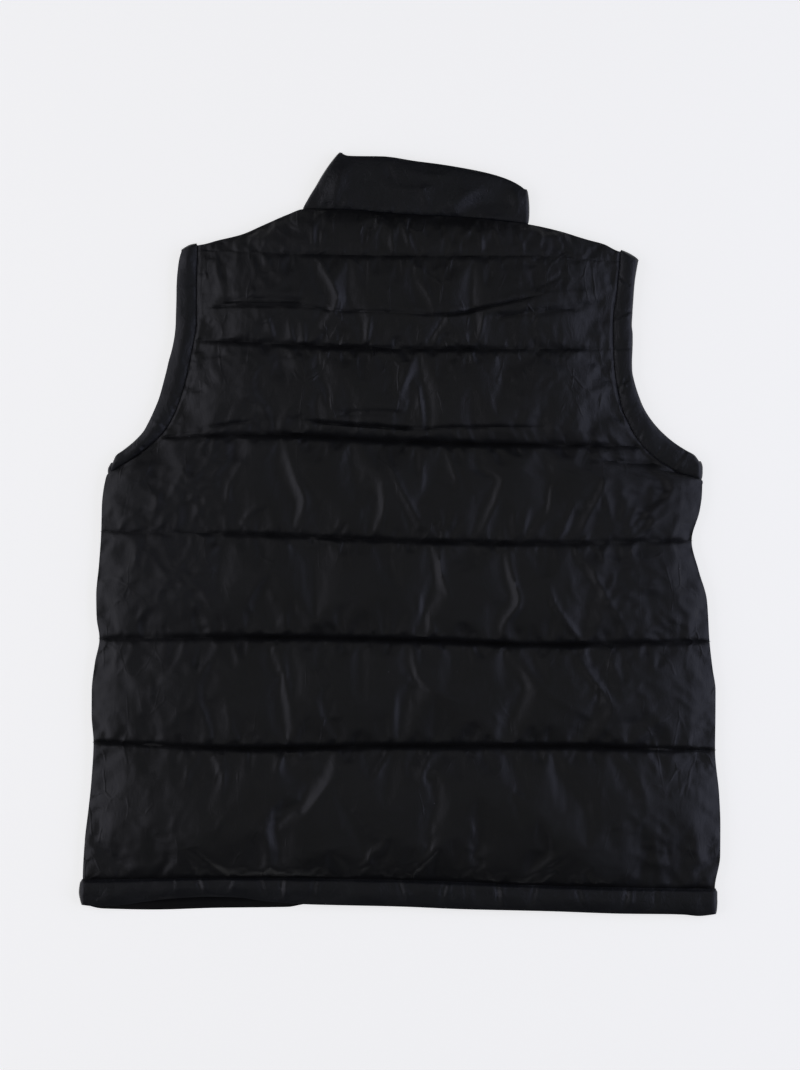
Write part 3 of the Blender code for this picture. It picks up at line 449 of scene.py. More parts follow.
# Blocks of a tooth, as shares: its size along reach, pitch and thickness, and its place along reach.
TOOTH_BLOCKS = ((1.0, 0.36, 0.62, 0.5), (0.42, 0.6, 0.8, 0.16), (0.3, 0.62, 1.0, 0.85))

# Materials: how the nylon's colour is mottled, its lint, and the width of a speck of it.
MOTTLING = (0.86, 1.16)
LINT_COLOUR, SPECK = (0.09, 0.09, 0.1, 1.0), 0.09

# Stage, in metres. The camera looks straight down, and at a given distance from it the longer side
# of its picture covers twice the framed half.
FLOOR_HALF, FLOOR_GLOW = 4.0, 0.705
ROOM_LIGHT, ROOM_COLOUR, BACKDROP_COLOUR = 0.02, (0.9, 0.95, 1.0, 1.0), (0.86, 0.86, 0.86, 1.0)
SENSOR, EYE_HEIGHT, FRAMED_HALF, FRAMED_AT = 36.0, 2.4, 0.522, 2.39
# Name, place, tilt about Y in degrees, size, radiance and colour of each light.
LIGHTS = (
    ("left wall", (-1.55, 0.0, 0.95), -78.0, (1.7, 2.6), 0.89, (0.87, 0.865, 1.0)),
    ("right wall", (1.55, 0.0, 0.95), 78.0, (1.7, 2.6), 1.04, (0.71, 0.745, 1.0)),
    ("ceiling", (0.0, 0.0, 2.9), 0.0, (3.4, 5.0), 0.149, (0.985, 0.98, 0.93)),
)

# Seam lines that the operators leave for the stitches, by the word in the stitches' name.
SEAM_LINES = {}


# Settings ------------------------------------------------------------------------------------


def length_setting(name, description, value, low, high):
    """Setting of a length that is given in millimetres."""
    return FloatProperty(name=name, description=description, default=value * MM, min=low * MM,
                         max=high * MM, subtype="DISTANCE", unit="LENGTH")


def colour_setting(name, description, value):
    return FloatVectorProperty(name=name, description=description, subtype="COLOR", default=value,
                               min=0.0, max=1.0)


class VestQuilt(bpy.types.PropertyGroup):
    """Padding and creases of the quilted panels."""

    back_crest: length_setting(
        "Back crest", "Thickness of a full channel of the back before it swells", 8.0, 4.0, 14.0)
    front_crest: length_setting(
        "Front crest", "Thickness of a full channel of the fronts", 15.0, 6.0, 18.0)
    cell: length_setting("Cloth cell", "Size of the back's cells while it swells", 4.3, 3.5, 12.0)
    front_cell: length_setting(
        "Front cell", "Size of the fronts' cells before they are refined", 6.5, 4.0, 15.0)
    slack: FloatProperty(
        name="Slack", description="Share by which the cloth is larger than the shape it covers",
        default=0.009, min=0.0, max=0.08, subtype="FACTOR")
    pressure: FloatProperty(
        name="Pressure", description="How hard the filling pushes the cloth out",
        default=0.9, min=0.0, max=6.0)
    crease_depth: FloatProperty(
        name="Crease depth", description="Scale of the creases and puckers",
        default=0.72, min=0.0, max=2.0, subtype="FACTOR")


class VestTrim(bpy.types.PropertyGroup):
    """Stitches and zip teeth."""

    stitch_pitch: length_setting("Stitch pitch", "Distance from one stitch to the next", 3.4, 2.0, 6.0)
    stitch_length: length_setting(
        "Stitch length", "Length of the thread that shows in one stitch", 2.5, 1.0, 5.0)
    thread: length_setting("Thread", "Thickness of the sewing thread", 0.42, 0.2, 1.0)
    tooth_pitch: length_setting(
        "Tooth pitch", "Distance from one zip tooth to the next on the same tape", 3.0, 2.4, 5.0)
    seed: IntProperty(
        name="Seed", description="Chooses the small unevenness of stitches and puckers",
        default=7, min=0)


class VestColours(bpy.types.PropertyGroup):
    """Colours of the vest and of the floor under it."""

    nylon: colour_setting("Nylon", "Colour of the quilted panels", (0.0078, 0.0078, 0.0084))
    band: colour_setting(
        "Bands", "Colour of the armhole bindings, the hem band and the collar",
        (0.0075, 0.0082, 0.0105))
    # The lining takes this colour too. With its low shine, at the fronts' hem it also gives painted
    # shade.
    thread: colour_setting(
        "Thread", "Colour of the sewing thread and the lining", (0.006, 0.006, 0.0065))
    tape: colour_setting("Zip tape", "Colour of the zip's woven tapes", (0.01, 0.01, 0.011))
    teeth: colour_setting("Zip teeth", "Colour of the zip's moulded teeth", (0.014, 0.014, 0.015))
    metal: colour_setting("Zip metal", "Colour of the slider and its pull", (0.03, 0.03, 0.033))
    floor: colour_setting("Floor", "Colour of the floor", (0.6, 0.595, 0.585))


# Curves and fields ---------------------------------------------------------------------------


def smooth(value):
    share = np.clip(value, 0.0, 1.0)
    return share * share * (3.0 - 2.0 * share)


def curve(table, places):
    """Heights of a smooth curve through a table's (place, height) rows; it doesn't overshoot."""
    xs, ys = np.array(table, float).T
    gaps = np.diff(xs)
    steps = np.diff(ys) / gaps
    slopes = np.zeros(len(xs))
    before, after = steps[:-1], steps[1:]
    same = before * after > 0.0
    slopes[1:-1][same] = 2.0 * before[same] * after[same] / (before[same] + after[same])
    at = np.clip(places, xs[0], xs[-1])
    i = np.clip(np.searchsorted(xs, at, side="right") - 1, 0, len(xs) - 2)
    t = (at - xs[i]) / gaps[i]
    bend = slopes[i] * t * (1.0 - t) ** 2 - slopes[i + 1] * t * t * (1.0 - t)
    return ys[i] + (ys[i + 1] - ys[i]) * smooth(t) + gaps[i] * bend


def seam_height(seam, across):
    return curve(tuple(zip(STATIONS, seam.heights)), across)


def hem_height(x):
    width = RIGHT_EDGE[0][1] - LEFT_EDGE[0][1]
    return seam_height(SEAMS[0], (x - LEFT_EDGE[0][1]) / width)


def back_top(x):
    return curve(BACK_TOP, x)


def front_top(x):
    """Shoulder seam, then the front neck's scoop down to the zip."""
    x = np.asarray(x, float)
    point = np.where(x < 0.0, LEFT_NECK_POINT, RIGHT_NECK_POINT)
    share = np.clip((np.abs(x) - CENTRE_HALF) / (np.abs(point) - CENTRE_HALF), 0.0, 1.0)
    depth = back_top(point) - FRONT_NECK_HEIGHT
    scoop = 1.0 - (1.0 - share ** FRONT_NECK_POWER) ** FRONT_NECK_SQUARENESS
    return np.where(share < 1.0, FRONT_NECK_HEIGHT + depth * scoop, back_top(x))


def sunk(inset, sink):
    return smooth((inset - sink.level) / sink.ramp)


def middle_share(x, y):
    """1 well inside the vest and 0 at its outline."""
    share = sunk(x - curve(LEFT_EDGE, y), SIDE_SINK) * sunk(curve(RIGHT_EDGE, y) - x, SIDE_SINK)
    share = share * sunk(y - hem_height(x), HEM_SINK)
    return share * sunk(back_top(x) - y, TOP_SINK)


def back_inside(x, y):
    return EDGE_HEIGHT + (MIDDLE_HEIGHT - EDGE_HEIGHT) * middle_share(x, y) + GAP / 2


def front_inside(x, y):
    """Inside of the fronts, which also sink at their own neck edge."""
    share = middle_share(x, y) * sunk(front_top(x) - y, FRONT_NECK_SINK)
    lift = SLIDER_LIFT * (1.0 - share) * smooth(1.0 - np.abs(x) / SLIDER_LIFT_REACH)
    lift = np.where(y > FRONT_NECK_HEIGHT - SLIDER_LIFT_REACH, lift, 0.0)
    return EDGE_HEIGHT + (MIDDLE_HEIGHT - EDGE_HEIGHT - FRONT_SLACK) * share + lift - GAP / 2


def smooth_path(points):
    """Points of a rounded line through a few given ones, eight to each run."""
    parts = 8
    points = np.array(points, float)
    padded = np.vstack([2 * points[0] - points[1], points, 2 * points[-1] - points[-2]])
    line = []
    for a, b, c, d in zip(padded, padded[1:], padded[2:], padded[3:]):
        for t in np.arange(parts) / parts:
            line.append(0.5 * (2 * b + (c - a) * t + (2 * a - 5 * b + 4 * c - d) * t * t
                               + (3 * b - a - 3 * c + d) * t ** 3))
    return np.vstack([line, points[-1]])


def near_path(x, y, path, reach):
    """Which points lie near a path, how far from it, the share along it and the side of it."""
    low, high = path.min(0) - reach, path.max(0) + reach
    near = (x > low[0]) & (x < high[0]) & (y > low[1]) & (y < high[1])
    px, py = x[near], y[near]
    away, share, side = np.full(px.shape, 1e9), np.zeros(px.shape), np.zeros(px.shape)
    runs = np.diff(path, axis=0)
    lengths = np.hypot(*runs.T)
    done, total = 0.0, lengths.sum()
    for start, run, length in zip(path, runs, lengths):
        dx, dy = px - start[0], py - start[1]
        t = np.clip((dx * run[0] + dy * run[1]) / (length * length), 0.0, 1.0)
        gap = np.hypot(dx - t * run[0], dy - t * run[1])
        closer = gap < away
        away = np.where(closer, gap, away)
        share = np.where(closer, (done + t * length) / total, share)
        side = np.where(closer, np.sign(run[0] * dy - run[1] * dx), side)
        done += length
    return near, away, share, side


def crease_rise(x, y, creases, peak=0.5, narrow=1.0):
    """How far creases raise the cloth; peak is the share along each at which it is highest."""
    rise = np.zeros(x.shape)
    for crease in creases:
        near, away, share, _ = near_path(x, y, smooth_path(crease.path), crease.width * 1.2)
        if not near.any():
            continue
        along = np.where(share < peak, share / peak, (1.0 - share) / (1.0 - peak))
        ridge = np.exp(-np.abs(away / (RIDGE_SHARE * narrow * crease.width)) ** RIDGE_POWER)
        rise[near] += crease.rise * ridge * np.sqrt(smooth(along * 0.97 + 0.03))
    return rise


def unevenness(x, y, wave, seed, stretch=1.0):
    """Smooth random field with about unit swing and a given wavelength; stretch lengthens it in y."""
    rng = np.random.default_rng(seed)
    u = (x - x.min()) / wave
    v = (y - y.min()) / (wave * stretch)
    knots = rng.uniform(-1.0, 1.0, (int(u.max()) + 3, int(v.max()) + 3))
    i, j = u.astype(int), v.astype(int)
    a, b = smooth(u - i), smooth(v - j)
    low = knots[i, j] * (1 - a) + knots[i + 1, j] * a
    high = knots[i, j + 1] * (1 - a) + knots[i + 1, j + 1] * a
    return low * (1 - b) + high * b


def rippled(x, y, ripple, seed):
    return ripple.height * unevenness(x, y, ripple.wave, seed, ripple.stretch)


def along_line(x, wave, seed):
    """Unevenness that changes with x alone."""
    return unevenness(x, 0.0 * x, wave, seed)


def bell(away, half):
    return np.exp(-(away / half) ** 2)


def lipped(away, lip):
    """Soft lip beside a fold: its height, distance and half width."""
    height, place, half = lip
    return height * bell(away - place, half)


# Quilted panels ------------------------------------------------------------------------------

Grid = namedtuple("Grid", "x y wall seam_rows guide_rows")


def top_place(across):
    return LEFT_EDGE[-1][1] + (RIGHT_EDGE[-1][1] - LEFT_EDGE[-1][1]) * across


def back_levels(across):
    return [seam_height(seam, across) for seam in SEAMS] + [back_top(top_place(across))]


def front_levels(across):
    top = front_top(top_place(across))
    return [np.minimum(seam_height(s, across), top - s.below_top) for s in SEAMS] + [top]


def laid_out(levels, x_of, crest, cell, guides):
    """Grid of a panel at rest: rows run across it, a few to each channel, and along its guides."""
    rows, places, seam_rows, guide_rows = [], [], [], {}
    width = levels[0].shape[0]
    for number, (low, high) in enumerate(zip(levels, levels[1:])):
        count = max(3, round(float(np.median(high - low)) / cell))
        seam_rows.append(len(rows))
        share = np.arange(count)[:, None] / count * np.ones(width)
        if number in guides:
            guide = curve(guides[number].path, x_of((low + high)[None] / 2)[0])
            guide = np.clip((guide - low) / (high - low), 0.06, 0.94)
            middle = min(max(2, round(float(guide.mean()) * count)), count - 2)
            even = middle / count
            share = np.where(share <= even, share * guide / even,
                             guide + (share - even) * (1.0 - guide) / (1.0 - even))
            guide_rows[number] = len(rows) + middle
        rows += list(low + (high - low) * share)
        places += [(number, row) for row in share]
    seam_rows.append(len(rows))
    rows.append(levels[-1])
    places.append((len(SEAMS), np.zeros(width)))
    y = np.array(rows)
    x = x_of(y)
    walls = [seam.wall for seam in SEAMS] + [NECK_WALL, NECK_WALL]
    wall = np.zeros(y.shape)
    for row, (number, share) in enumerate(places):
        line = walls[number] + (walls[number + 1] - walls[number]) * share
        size = 0.0
        if share.any():
            span = levels[number + 1] - levels[number]
            size = np.clip(span / FULL_CHANNEL, 0.0, 1.0) ** CHANNEL_POWER
        wall[row] = line + np.maximum(0.0, crest * size - line) * np.sin(math.pi * share) ** PUFF_POWER
    return Grid(x, y, wall, seam_rows, guide_rows)


def edges_of(x, y):
    """Distance in from the nearer side, how far a point is beside an armhole, and the edge's wall."""
    left, right = x - curve(LEFT_EDGE, y), curve(RIGHT_EDGE, y) - x
    underarm = np.where(left < right, LEFT_UNDERARM, RIGHT_UNDERARM)
    by_arm = smooth((y - underarm + ARM_FROM) / ARM_FADE)
    return np.minimum(left, right), by_arm, SIDE_WALL + (ARM_WALL - SIDE_WALL) * by_arm


def back_height(grid):
    """Height of the back's cloth: it comes up from the vest's outline in an even slope."""
    inset, by_arm, edge = edges_of(grid.x, grid.y)
    above_hem = grid.y - hem_height(grid.x)
    drop = back_top(grid.x) - grid.y
    lift = chamfered(drop / TOP_ROLL)
    reach = curve(SIDE_FACETS, grid.y)
    side = FACET_SHARE * chamfered(inset / reach)
    side = side + (1.0 - FACET_SHARE) * chamfered((inset - reach) / SIDE_EASE)
    facet = (1.0 - by_arm) * side + by_arm * chamfered(inset / ARM_FACET)
    full = np.minimum((MIDDLE_HEIGHT - EDGE_HEIGHT) * lift + grid.wall, curve(HEM_RISE, above_hem))
    full = np.minimum(full, curve(TOP_RISE, drop))
    return EDGE_HEIGHT + GAP / 2 + edge + np.maximum(0.0, full - edge) * facet


def front_height(grid):
    """Height of a front's cloth, which rests flat on the surface."""
    inset, by_arm, edge = edges_of(grid.x, grid.y)
    wall = rolled(grid.wall, inset, edge, np.where(by_arm > 0.5, ARM_FACET, FRONT_FACET))
    wall = rolled(wall, np.abs(grid.x) - CENTRE_HALF, ZIP_WALL, ZIP_ROLL)
    return front_inside(grid.x, grid.y) - wall


def rounded(share):
    """Height of a rounded shoulder, from 0 at an edge to 1 further in."""
    return np.sqrt(1.0 - (1.0 - np.clip(share, 0.0, 1.0)) ** 2)


def chamfered(share):
    """Height of an even slope from an edge, eased into the flat at its top."""
    return np.clip(share, 0.0, 1.0) - EASE_DEPTH * bell(share - 1.0, EASE_WIDTH)


def rolled(wall, inset, edge, roll):
    """Wall that rounds down to its edge thickness at a panel's edge."""
    return np.where((inset < roll) & (wall > edge), edge + (wall - edge) * rounded(inset / roll), wall)


def grid_faces(rows, columns, start=0):
    index = np.arange(rows * columns).reshape(rows, columns) + start
    return np.stack([index[:-1, :-1], index[:-1, 1:], index[1:, 1:], index[1:, :-1]], -1).reshape(-1, 4)


def swollen(points, held, quilt):
    """Cloth laid over points in millimetres, swollen by its filling and held along its seams."""
    rows, columns = points.shape[:2]
    mesh = bpy.data.meshes.new("cloth")
    mesh.from_pydata((points.reshape(-1, 3) * MM).tolist(), [], grid_faces(rows, columns).tolist())
    thing = bpy.data.objects.new("cloth", mesh)
    scene = bpy.context.scene
    scene.collection.objects.link(thing)
    group = thing.vertex_groups.new(name="held")
    group.add(np.flatnonzero(held.ravel()).tolist(), 1.0, "REPLACE")
    cloth = thing.modifiers.new("swell", "CLOTH")
    settings = cloth.settings
    for key, value in CLOTH.items():
        setattr(settings, key, value)
    settings.vertex_group_mass = "held"
    settings.use_pressure = True
    settings.uniform_pressure_force = quilt.pressure
    settings.shrink_min = -quilt.slack
    settings.effector_weights.gravity = 0.0
    cloth.collision_settings.use_collision = False
    cloth.point_cache.frame_end = SWELL_FRAMES
    for number in range(1, SWELL_FRAMES + 1):
        scene.frame_set(number)
    evaluated = thing.evaluated_get(bpy.context.evaluated_depsgraph_get())
    moved = np.empty(rows * columns * 3, np.float32)
    evaluated.data.vertices.foreach_get("co", moved)
    bpy.data.objects.remove(thing, do_unlink=True)
    scene.frame_set(1)
    shift = moved.reshape(points.shape).astype(float) / MM - points
    length = np.linalg.norm(shift, axis=-1, keepdims=True)
    return points + shift * np.minimum(1.0, MOST_SWELL / np.maximum(length, 1e-6))


def refined(points, axis):
    """Grid with a smooth new row between every two along an axis."""
    grid = np.moveaxis(points, axis, 0)
    first, last = 2 * grid[0] - grid[1], 2 * grid[-1] - grid[-2]
    long = np.concatenate([first[None], grid, last[None]])
    between = (9.0 * (long[1:-2] + long[2:-1]) - long[:-3] - long[3:]) / 16.0
    fine = np.empty((2 * len(grid) - 1,) + grid.shape[1:])
    fine[::2], fine[1::2] = grid, between
    return np.moveaxis(fine, 0, axis)


def refined_panel(points, seam_rows, guide_rows):
    """Panel's grid at half the step, with rows close beside its seams and inside its edges."""
    wide = refined(points, 1)
    left, right = wide[:, :1], wide[:, -1:]
    lips = left + (wide[:, 1:2] - left) * EDGE_LIP, right + (wide[:, -2:-1] - right) * EDGE_LIP
    wide = np.concatenate([left, lips[0], wide[:, 1:-1], lips[1], right], 1)
    parts, rows = [], [0]
    breaks = sorted([*seam_rows, *guide_rows.values()])
    for a, b in zip(breaks, breaks[1:]):
        part = refined(wide[a:b + 1], 0)
        first = part[0] + (part[1] - part[0]) * SEAM_LIP
        last = part[-1] + (part[-2] - part[-1]) * SEAM_LIP
        parts.append(np.concatenate([part[:1], first[None], part[1:-1], last[None]]))
        rows.append(rows[-1] + len(parts[-1]))
    new_row = dict(zip(breaks, rows))
    guides = {number: new_row[row] for number, row in guide_rows.items()}
    return np.concatenate(parts + [wide[-1:]]), [new_row[row] for row in seam_rows], guides


def seam_puckers(levels_of, edges, scale, seed):
    """Short creases that run out from the quilting seams, above and below, where the thread gathers."""
    rng = np.random.default_rng(seed)
    puckers = []
    left, right = edges
    for number in range(len(SEAMS) + 1):
        for side in (-1.0, 1.0):
            if (number == 0 and side < 0.0) or (number == len(SEAMS) and side > 0.0):
                continue
            across = 0.02
            while across < 0.98:
                x = left + (right - left) * across
                y = float(levels_of(np.array([across]))[number][0])
                length = rng.uniform(6.0, 18.0) * (1.6 if rng.random() < 0.15 else 1.0)
                lean = rng.normal(0.0, 0.35) * length
                rise = rng.uniform(0.5, 1.4) * scale * rng.choice((1.0, 1.0, -0.7))
                puckers.append(Crease(rng.uniform(4.6, 8.0), rise,
                                      ((x, y + side * 0.8), (x + lean, y + side * length))))
                across += rng.uniform(9.0, 24.0) / (right - left)
    for number, x in FANS:
        y = float(levels_of(np.array([(x - left) / (right - left)]))[number][0])
        for side in (-1.0, 1.0):
            for turn in np.linspace(-0.8, 0.8, 4):
                lean, length = turn + rng.normal(0.0, 0.14), rng.uniform(9.0, 22.0)
                top = (x + 5.0 * turn + length * math.sin(lean), y + side * length * math.cos(lean))
                puckers.append(Crease(rng.uniform(4.6, 6.4), rng.uniform(0.8, 1.7) * scale,
                                      ((x + 3.0 * turn, y + side * 1.0), top)))
    return puckers


def edge_puckers(edge, inward, low, high, scale, seed):
    """Short creases that run in from a side or armhole seam."""
    rng = np.random.default_rng(seed)
    puckers, y = [], low
    while y < high:
        x = float(curve(edge, y))
        length = rng.uniform(10.0, 30.0)
        rise = rng.uniform(0.4, 1.0) * scale * rng.choice((1.0, 1.0, -0.8))
        lean = rng.normal(0.0, 0.45) * length
        puckers.append(Crease(rng.uniform(5.0, 9.0), rise,
                              ((x + inward * 2.0, y), (x + inward * length, y + lean))))
        y += rng.uniform(9.0, 26.0)
    return puckers


def crumples(left, right, count, seed):
    """Small creases scattered over a panel, close together near the sides and over the chest."""
    rng = np.random.default_rng(seed)
    creases = []
    while len(creases) < count:
        x, y = rng.uniform(left, right), rng.uniform(-330.0, 300.0)
        inset = min(x - float(curve(LEFT_EDGE, y)), float(curve(RIGHT_EDGE, y)) - x)
        share = max(math.exp(-inset / 34.0), 0.08 + 0.4 * float(smooth((y - 80.0) / 60.0)))
        if inset < 3.0 or rng.random() > share:
            continue
        turn, length = rng.normal(0.0, 0.75), rng.uniform(8.0, 26.0)
        run = length * np.array([math.sin(turn), math.cos(turn)])
        start = np.array([x, y])
        bend = start + run * rng.uniform(0.35, 0.65) + rng.normal(0.0, 1.6, 2)
        width, rise = rng.uniform(4.8, 8.5), rng.uniform(0.35, 1.1) * rng.choice((1.0, 1.0, -0.8))
        creases.append(Crease(width, rise, (start, bend, start + run)))
    return creases


def facets(x, y, wave, seed):
    """Random field of flat faces that meet in sharp ridges, at about a given distance."""
    turn = 0.7 + 0.9 * seed
    u, v = x * math.cos(turn) + y * math.sin(turn), y * math.cos(turn) - x * math.sin(turn)
    bent = 0.5 * wave * unevenness(x, y, 1.7 * wave, seed + 1)
    return 0.5 - 2.0 * np.abs(unevenness(u + bent, v - bent, wave, seed))


def side_crumple(x, y):
    """How strongly the cloth is crumpled beside the side seams."""
    inset, _, _ = edges_of(x, y)
    return curve(CRUMPLE_REACH, inset) * curve(CRUMPLE_HEIGHTS, y)


def crumple_field(x, y, seed):
    """How crumpled the cloth is: most at the sides and over the chest, in patches."""
    inset, _, _ = edges_of(x, y)
    side = np.exp(-np.maximum(inset, 0.0) / 45.0)
    patches = 0.4 * unevenness(x, y, 48.0, seed)
    return np.clip(0.24 + 0.9 * side + 0.5 * smooth((y - 80.0) / 60.0) + patches, 0.1, 1.5)


def fold_rise(x, y, folds):
    """Long folds: a narrow trough below a soft lip."""
    rise = np.zeros(x.shape)
    for fold in folds:
        near, away, share, side = near_path(x, y, smooth_path(fold.path), fold.width * 3.0)
        ends = smooth(np.minimum(share, 1.0 - share) * 6.0)
        trough = fold.depth * bell(away, 0.42 * fold.width)
        lip = lipped(away, (fold.lip, 1.1 * fold.width, 0.9 * fold.width)) * (side > 0)
        rise[near] += ends * (lip - trough)
    return rise


def closed_panel(name, outer, inside_of, crumple):
    """Closed mesh of a panel: its fine outer cloth, and a plain inside under it."""
    rows, columns = outer.shape[:2]
    count = rows * columns
    index = np.arange(count).reshape(rows, columns)
    rim = np.concatenate([index[0, :-1], index[:-1, -1], index[-1, :0:-1], index[:0:-1, 0]])
    flat = outer.reshape(-1, 3)
    few = slice(INSIDE_FROM, -INSIDE_FROM, INSIDE_STEP)
    inner = np.vstack([flat[rim, :2], outer[few, few, :2].reshape(-1, 2)])
    loop = [(i, (i + 1) % len(rim)) for i in range(len(rim))]
    found = delaunay_2d_cdt([Vector(p) for p in inner], loop, [], 1, 1e-5)
    new_of = {old: new for new, olds in enumerate(found[3]) for old in olds}
    plan = np.array([(v.x, v.y) for v in found[0]])
    low = np.column_stack([plan, inside_of(plan[:, 0], plan[:, 1])])
    faces = grid_faces(rows, columns).tolist()
    faces += [[count + i for i in reversed(face)] for face in found[2]]
    for i, a in enumerate(rim):
        j = (i + 1) % len(rim)
        faces.append([int(rim[j]), int(a), count + new_of[i], count + new_of[j]])
    thing = closed_mesh(name, np.vstack([flat, low]), faces)
    rubbed = np.minimum(side_crumple(outer[..., 0], outer[..., 1]), MOST_HAZE)
    for label, worn, inside in (("crumple", crumple, INSIDE_CRUMPLE), ("haze", rubbed, 0.0)):
        values = np.concatenate([worn.ravel(), np.full(len(low), inside)]).astype(np.float32)
        thing.data.attributes.new(label, "FLOAT", "POINT").data.foreach_set("value", values)
    return thing


def closed_mesh(name, points, faces):
    """Mesh object of a closed shape given in millimetres, with its faces turned outwards."""
    mesh = bpy.data.meshes.new(name)
    mesh.from_pydata((np.asarray(points) * MM).tolist(), [], faces)
    shape = bmesh.new()
    shape.from_mesh(mesh)
    bmesh.ops.recalc_face_normals(shape, faces=shape.faces)
    if shape.calc_volume(signed=True) < 0.0:
        bmesh.ops.reverse_faces(shape, faces=shape.faces)
    shape.to_mesh(mesh)
    shape.free()
    mesh.shade_smooth()
    mesh.set_sharp_from_angle(angle=SHARP_FROM)
    thing = bpy.data.objects.new(name, mesh)
    bpy.context.scene.collection.objects.link(thing)
    return thing


def finished(thing, material, replaced):
    """Gives a piece its material and slot, seats it on its body and hides the solids that it replaces.
    """
    thing.data.materials.clear()
    thing.data.materials.append(material)
    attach(thing, BODY)
    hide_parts(*replaced)


def quilt_back(quilt, seed):
    """Outer cloth of the back in millimetres, with its seam rows and guide rows."""
    across = np.linspace(0.0, 1.0, round(BACK_WIDTH / quilt.cell) + 1)

    def x_of(y):
        left = curve(LEFT_EDGE, y[:, 0])[:, None]
        return left + (curve(RIGHT_EDGE, y[:, -1])[:, None] - left) * across

    grid = laid_out(back_levels(across), x_of, quilt.back_crest / MM, quilt.cell / MM, GUIDES)
    points = np.stack([grid.x, grid.y, back_height(grid)], -1)
    held = np.zeros(grid.x.shape, bool)
    held[grid.seam_rows], held[:, 0], held[:, -1] = True, True, True
    rise = rippled(grid.x, grid.y, START_RIPPLE, seed)
    rise = rise + crease_rise(grid.x, grid.y, CREASES) * START_CREASES
    start = points.copy()
    start[..., 2] += np.where(held, 0.0, rise)
    points = swollen(start, held, quilt)
    return refined_panel(points, grid.seam_rows, grid.guide_rows)


def freedom(outer, seam_rows):
    """0 on a panel's seams and edges and 1 a little way off, where the cloth can lift freely."""
    x, y = outer[..., 0], outer[..., 1]
    away = np.minimum(np.abs(x - x[:, :1]), np.abs(x - x[:, -1:]))
    for row in seam_rows:
        away = np.minimum(away, np.abs(y - y[row]))
    return smooth(away / FREE_REACH)


def sloped(outer, row, reach):
    """Turns the cloth above a seam into an even slope, as far up as its reach at each column."""
    y, z = outer[..., 1], outer[..., 2]
    for column in np.flatnonzero(reach > 1.0):
        above = y[row:, column] - y[row, column]
        count = int((above < reach[column]).sum())
        top = np.interp(reach[column], above[:count + 1], z[row:row + count + 1, column])
        low = z[row, column]
        z[row:row + count, column] = low + (top - low) * above[:count] / reach[column]


def detail_back(outer, seam_rows, guide_rows, quilt, seed):
    """Adds the back's creases, puckers and folds, and the grooves along its seams."""
    x, y, z = outer[..., 0].copy(), outer[..., 1].copy(), outer[..., 2]
    depth = quilt.crease_depth
    ends = (LEFT_EDGE[4][1], RIGHT_EDGE[4][1])
    columns = z.shape[1]
    across = np.linspace(0.0, 1.0, columns)
    sloped(outer, seam_rows[THIRD], curve(VALLEY, across) * (1.0 + 0.3 * along_line(x[0], 16.0, seed)))
    crumple = crumple_field(x, y, seed + 6)
    rise = crease_rise(x, y, CREASES, narrow=CREASE_NARROWING) * CREASE_SHARE * depth
    rise += crease_rise(x, y, seam_puckers(back_levels, ends, depth, seed), SEAM_PUCKER_PEAK)
    for i, side in enumerate(SIDE_PUCKERS, 1):
        rise += crease_rise(x, y, edge_puckers(*side, depth, seed + i), SIDE_PUCKER_PEAK)
    rise += crease_rise(x, y, crumples(*SCATTERED, seed + 7)) * depth
    rise += fold_rise(x, y, LONG_FOLDS)
    for number, row in guide_rows.items():
        above = y - y[row]
        fold_depth = curve(GUIDES[number].depths, x)
        fold_depth = fold_depth * (1.0 + 0.3 * along_line(x, 13.0, seed + 80 + number))
        lip = lipped(above, (LIP_RISE, LIP_REACH, 0.8 * LIP_REACH)) * (above > 0.0)
        rise += fold_depth * (lip - bell(above, FOLD_HALF))
    rise += rippled(x, y, BROAD_RIPPLE, seed + 3) + crumple * rippled(x, y, FINE_RIPPLE, seed + 4)
    faces = sum(height * facets(x, y, wave, seed + 8 + i)
                for i, (height, wave) in enumerate(SIDE_FACES))
    rise += side_crumple(x, y) * faces
    z += rise * freedom(outer, seam_rows)
    for number, (row, seam) in enumerate(zip(seam_rows, SEAMS)):
        wave = along_line(x[row], 15.0, seed + 60 + number)
        pull = curve(tuple(zip(STATIONS, seam.pulls)), across) * (1.0 + 0.4 * wave)
        pull = np.minimum(pull * free_sides(columns), seam.wall - LEAST_PADDING)
        z -= pull * bell(y - y[row], GROOVE_HALF * (1.0 + 0.25 * wave))
    inset, by_arm, _ = edges_of(x, y)
    z -= ARM_GROOVE * bell(inset, ARM_GROOVE_HALF) * by_arm
    z -= ARM_FLATTEN * smooth(inset / FLATTEN_FROM) * np.exp(-inset / FLATTEN_REACH) * by_arm
    outer[..., 2] = np.maximum(z, back_inside(x, y) + LEAST_CLOTH)
    return outer, crumple


def free_sides(columns):
    """1 across a panel and 0 at its two side edges."""
    share = np.linspace(0.0, 1.0, columns)
    return smooth(np.minimum(share, 1.0 - share) / HELD_SHARE)


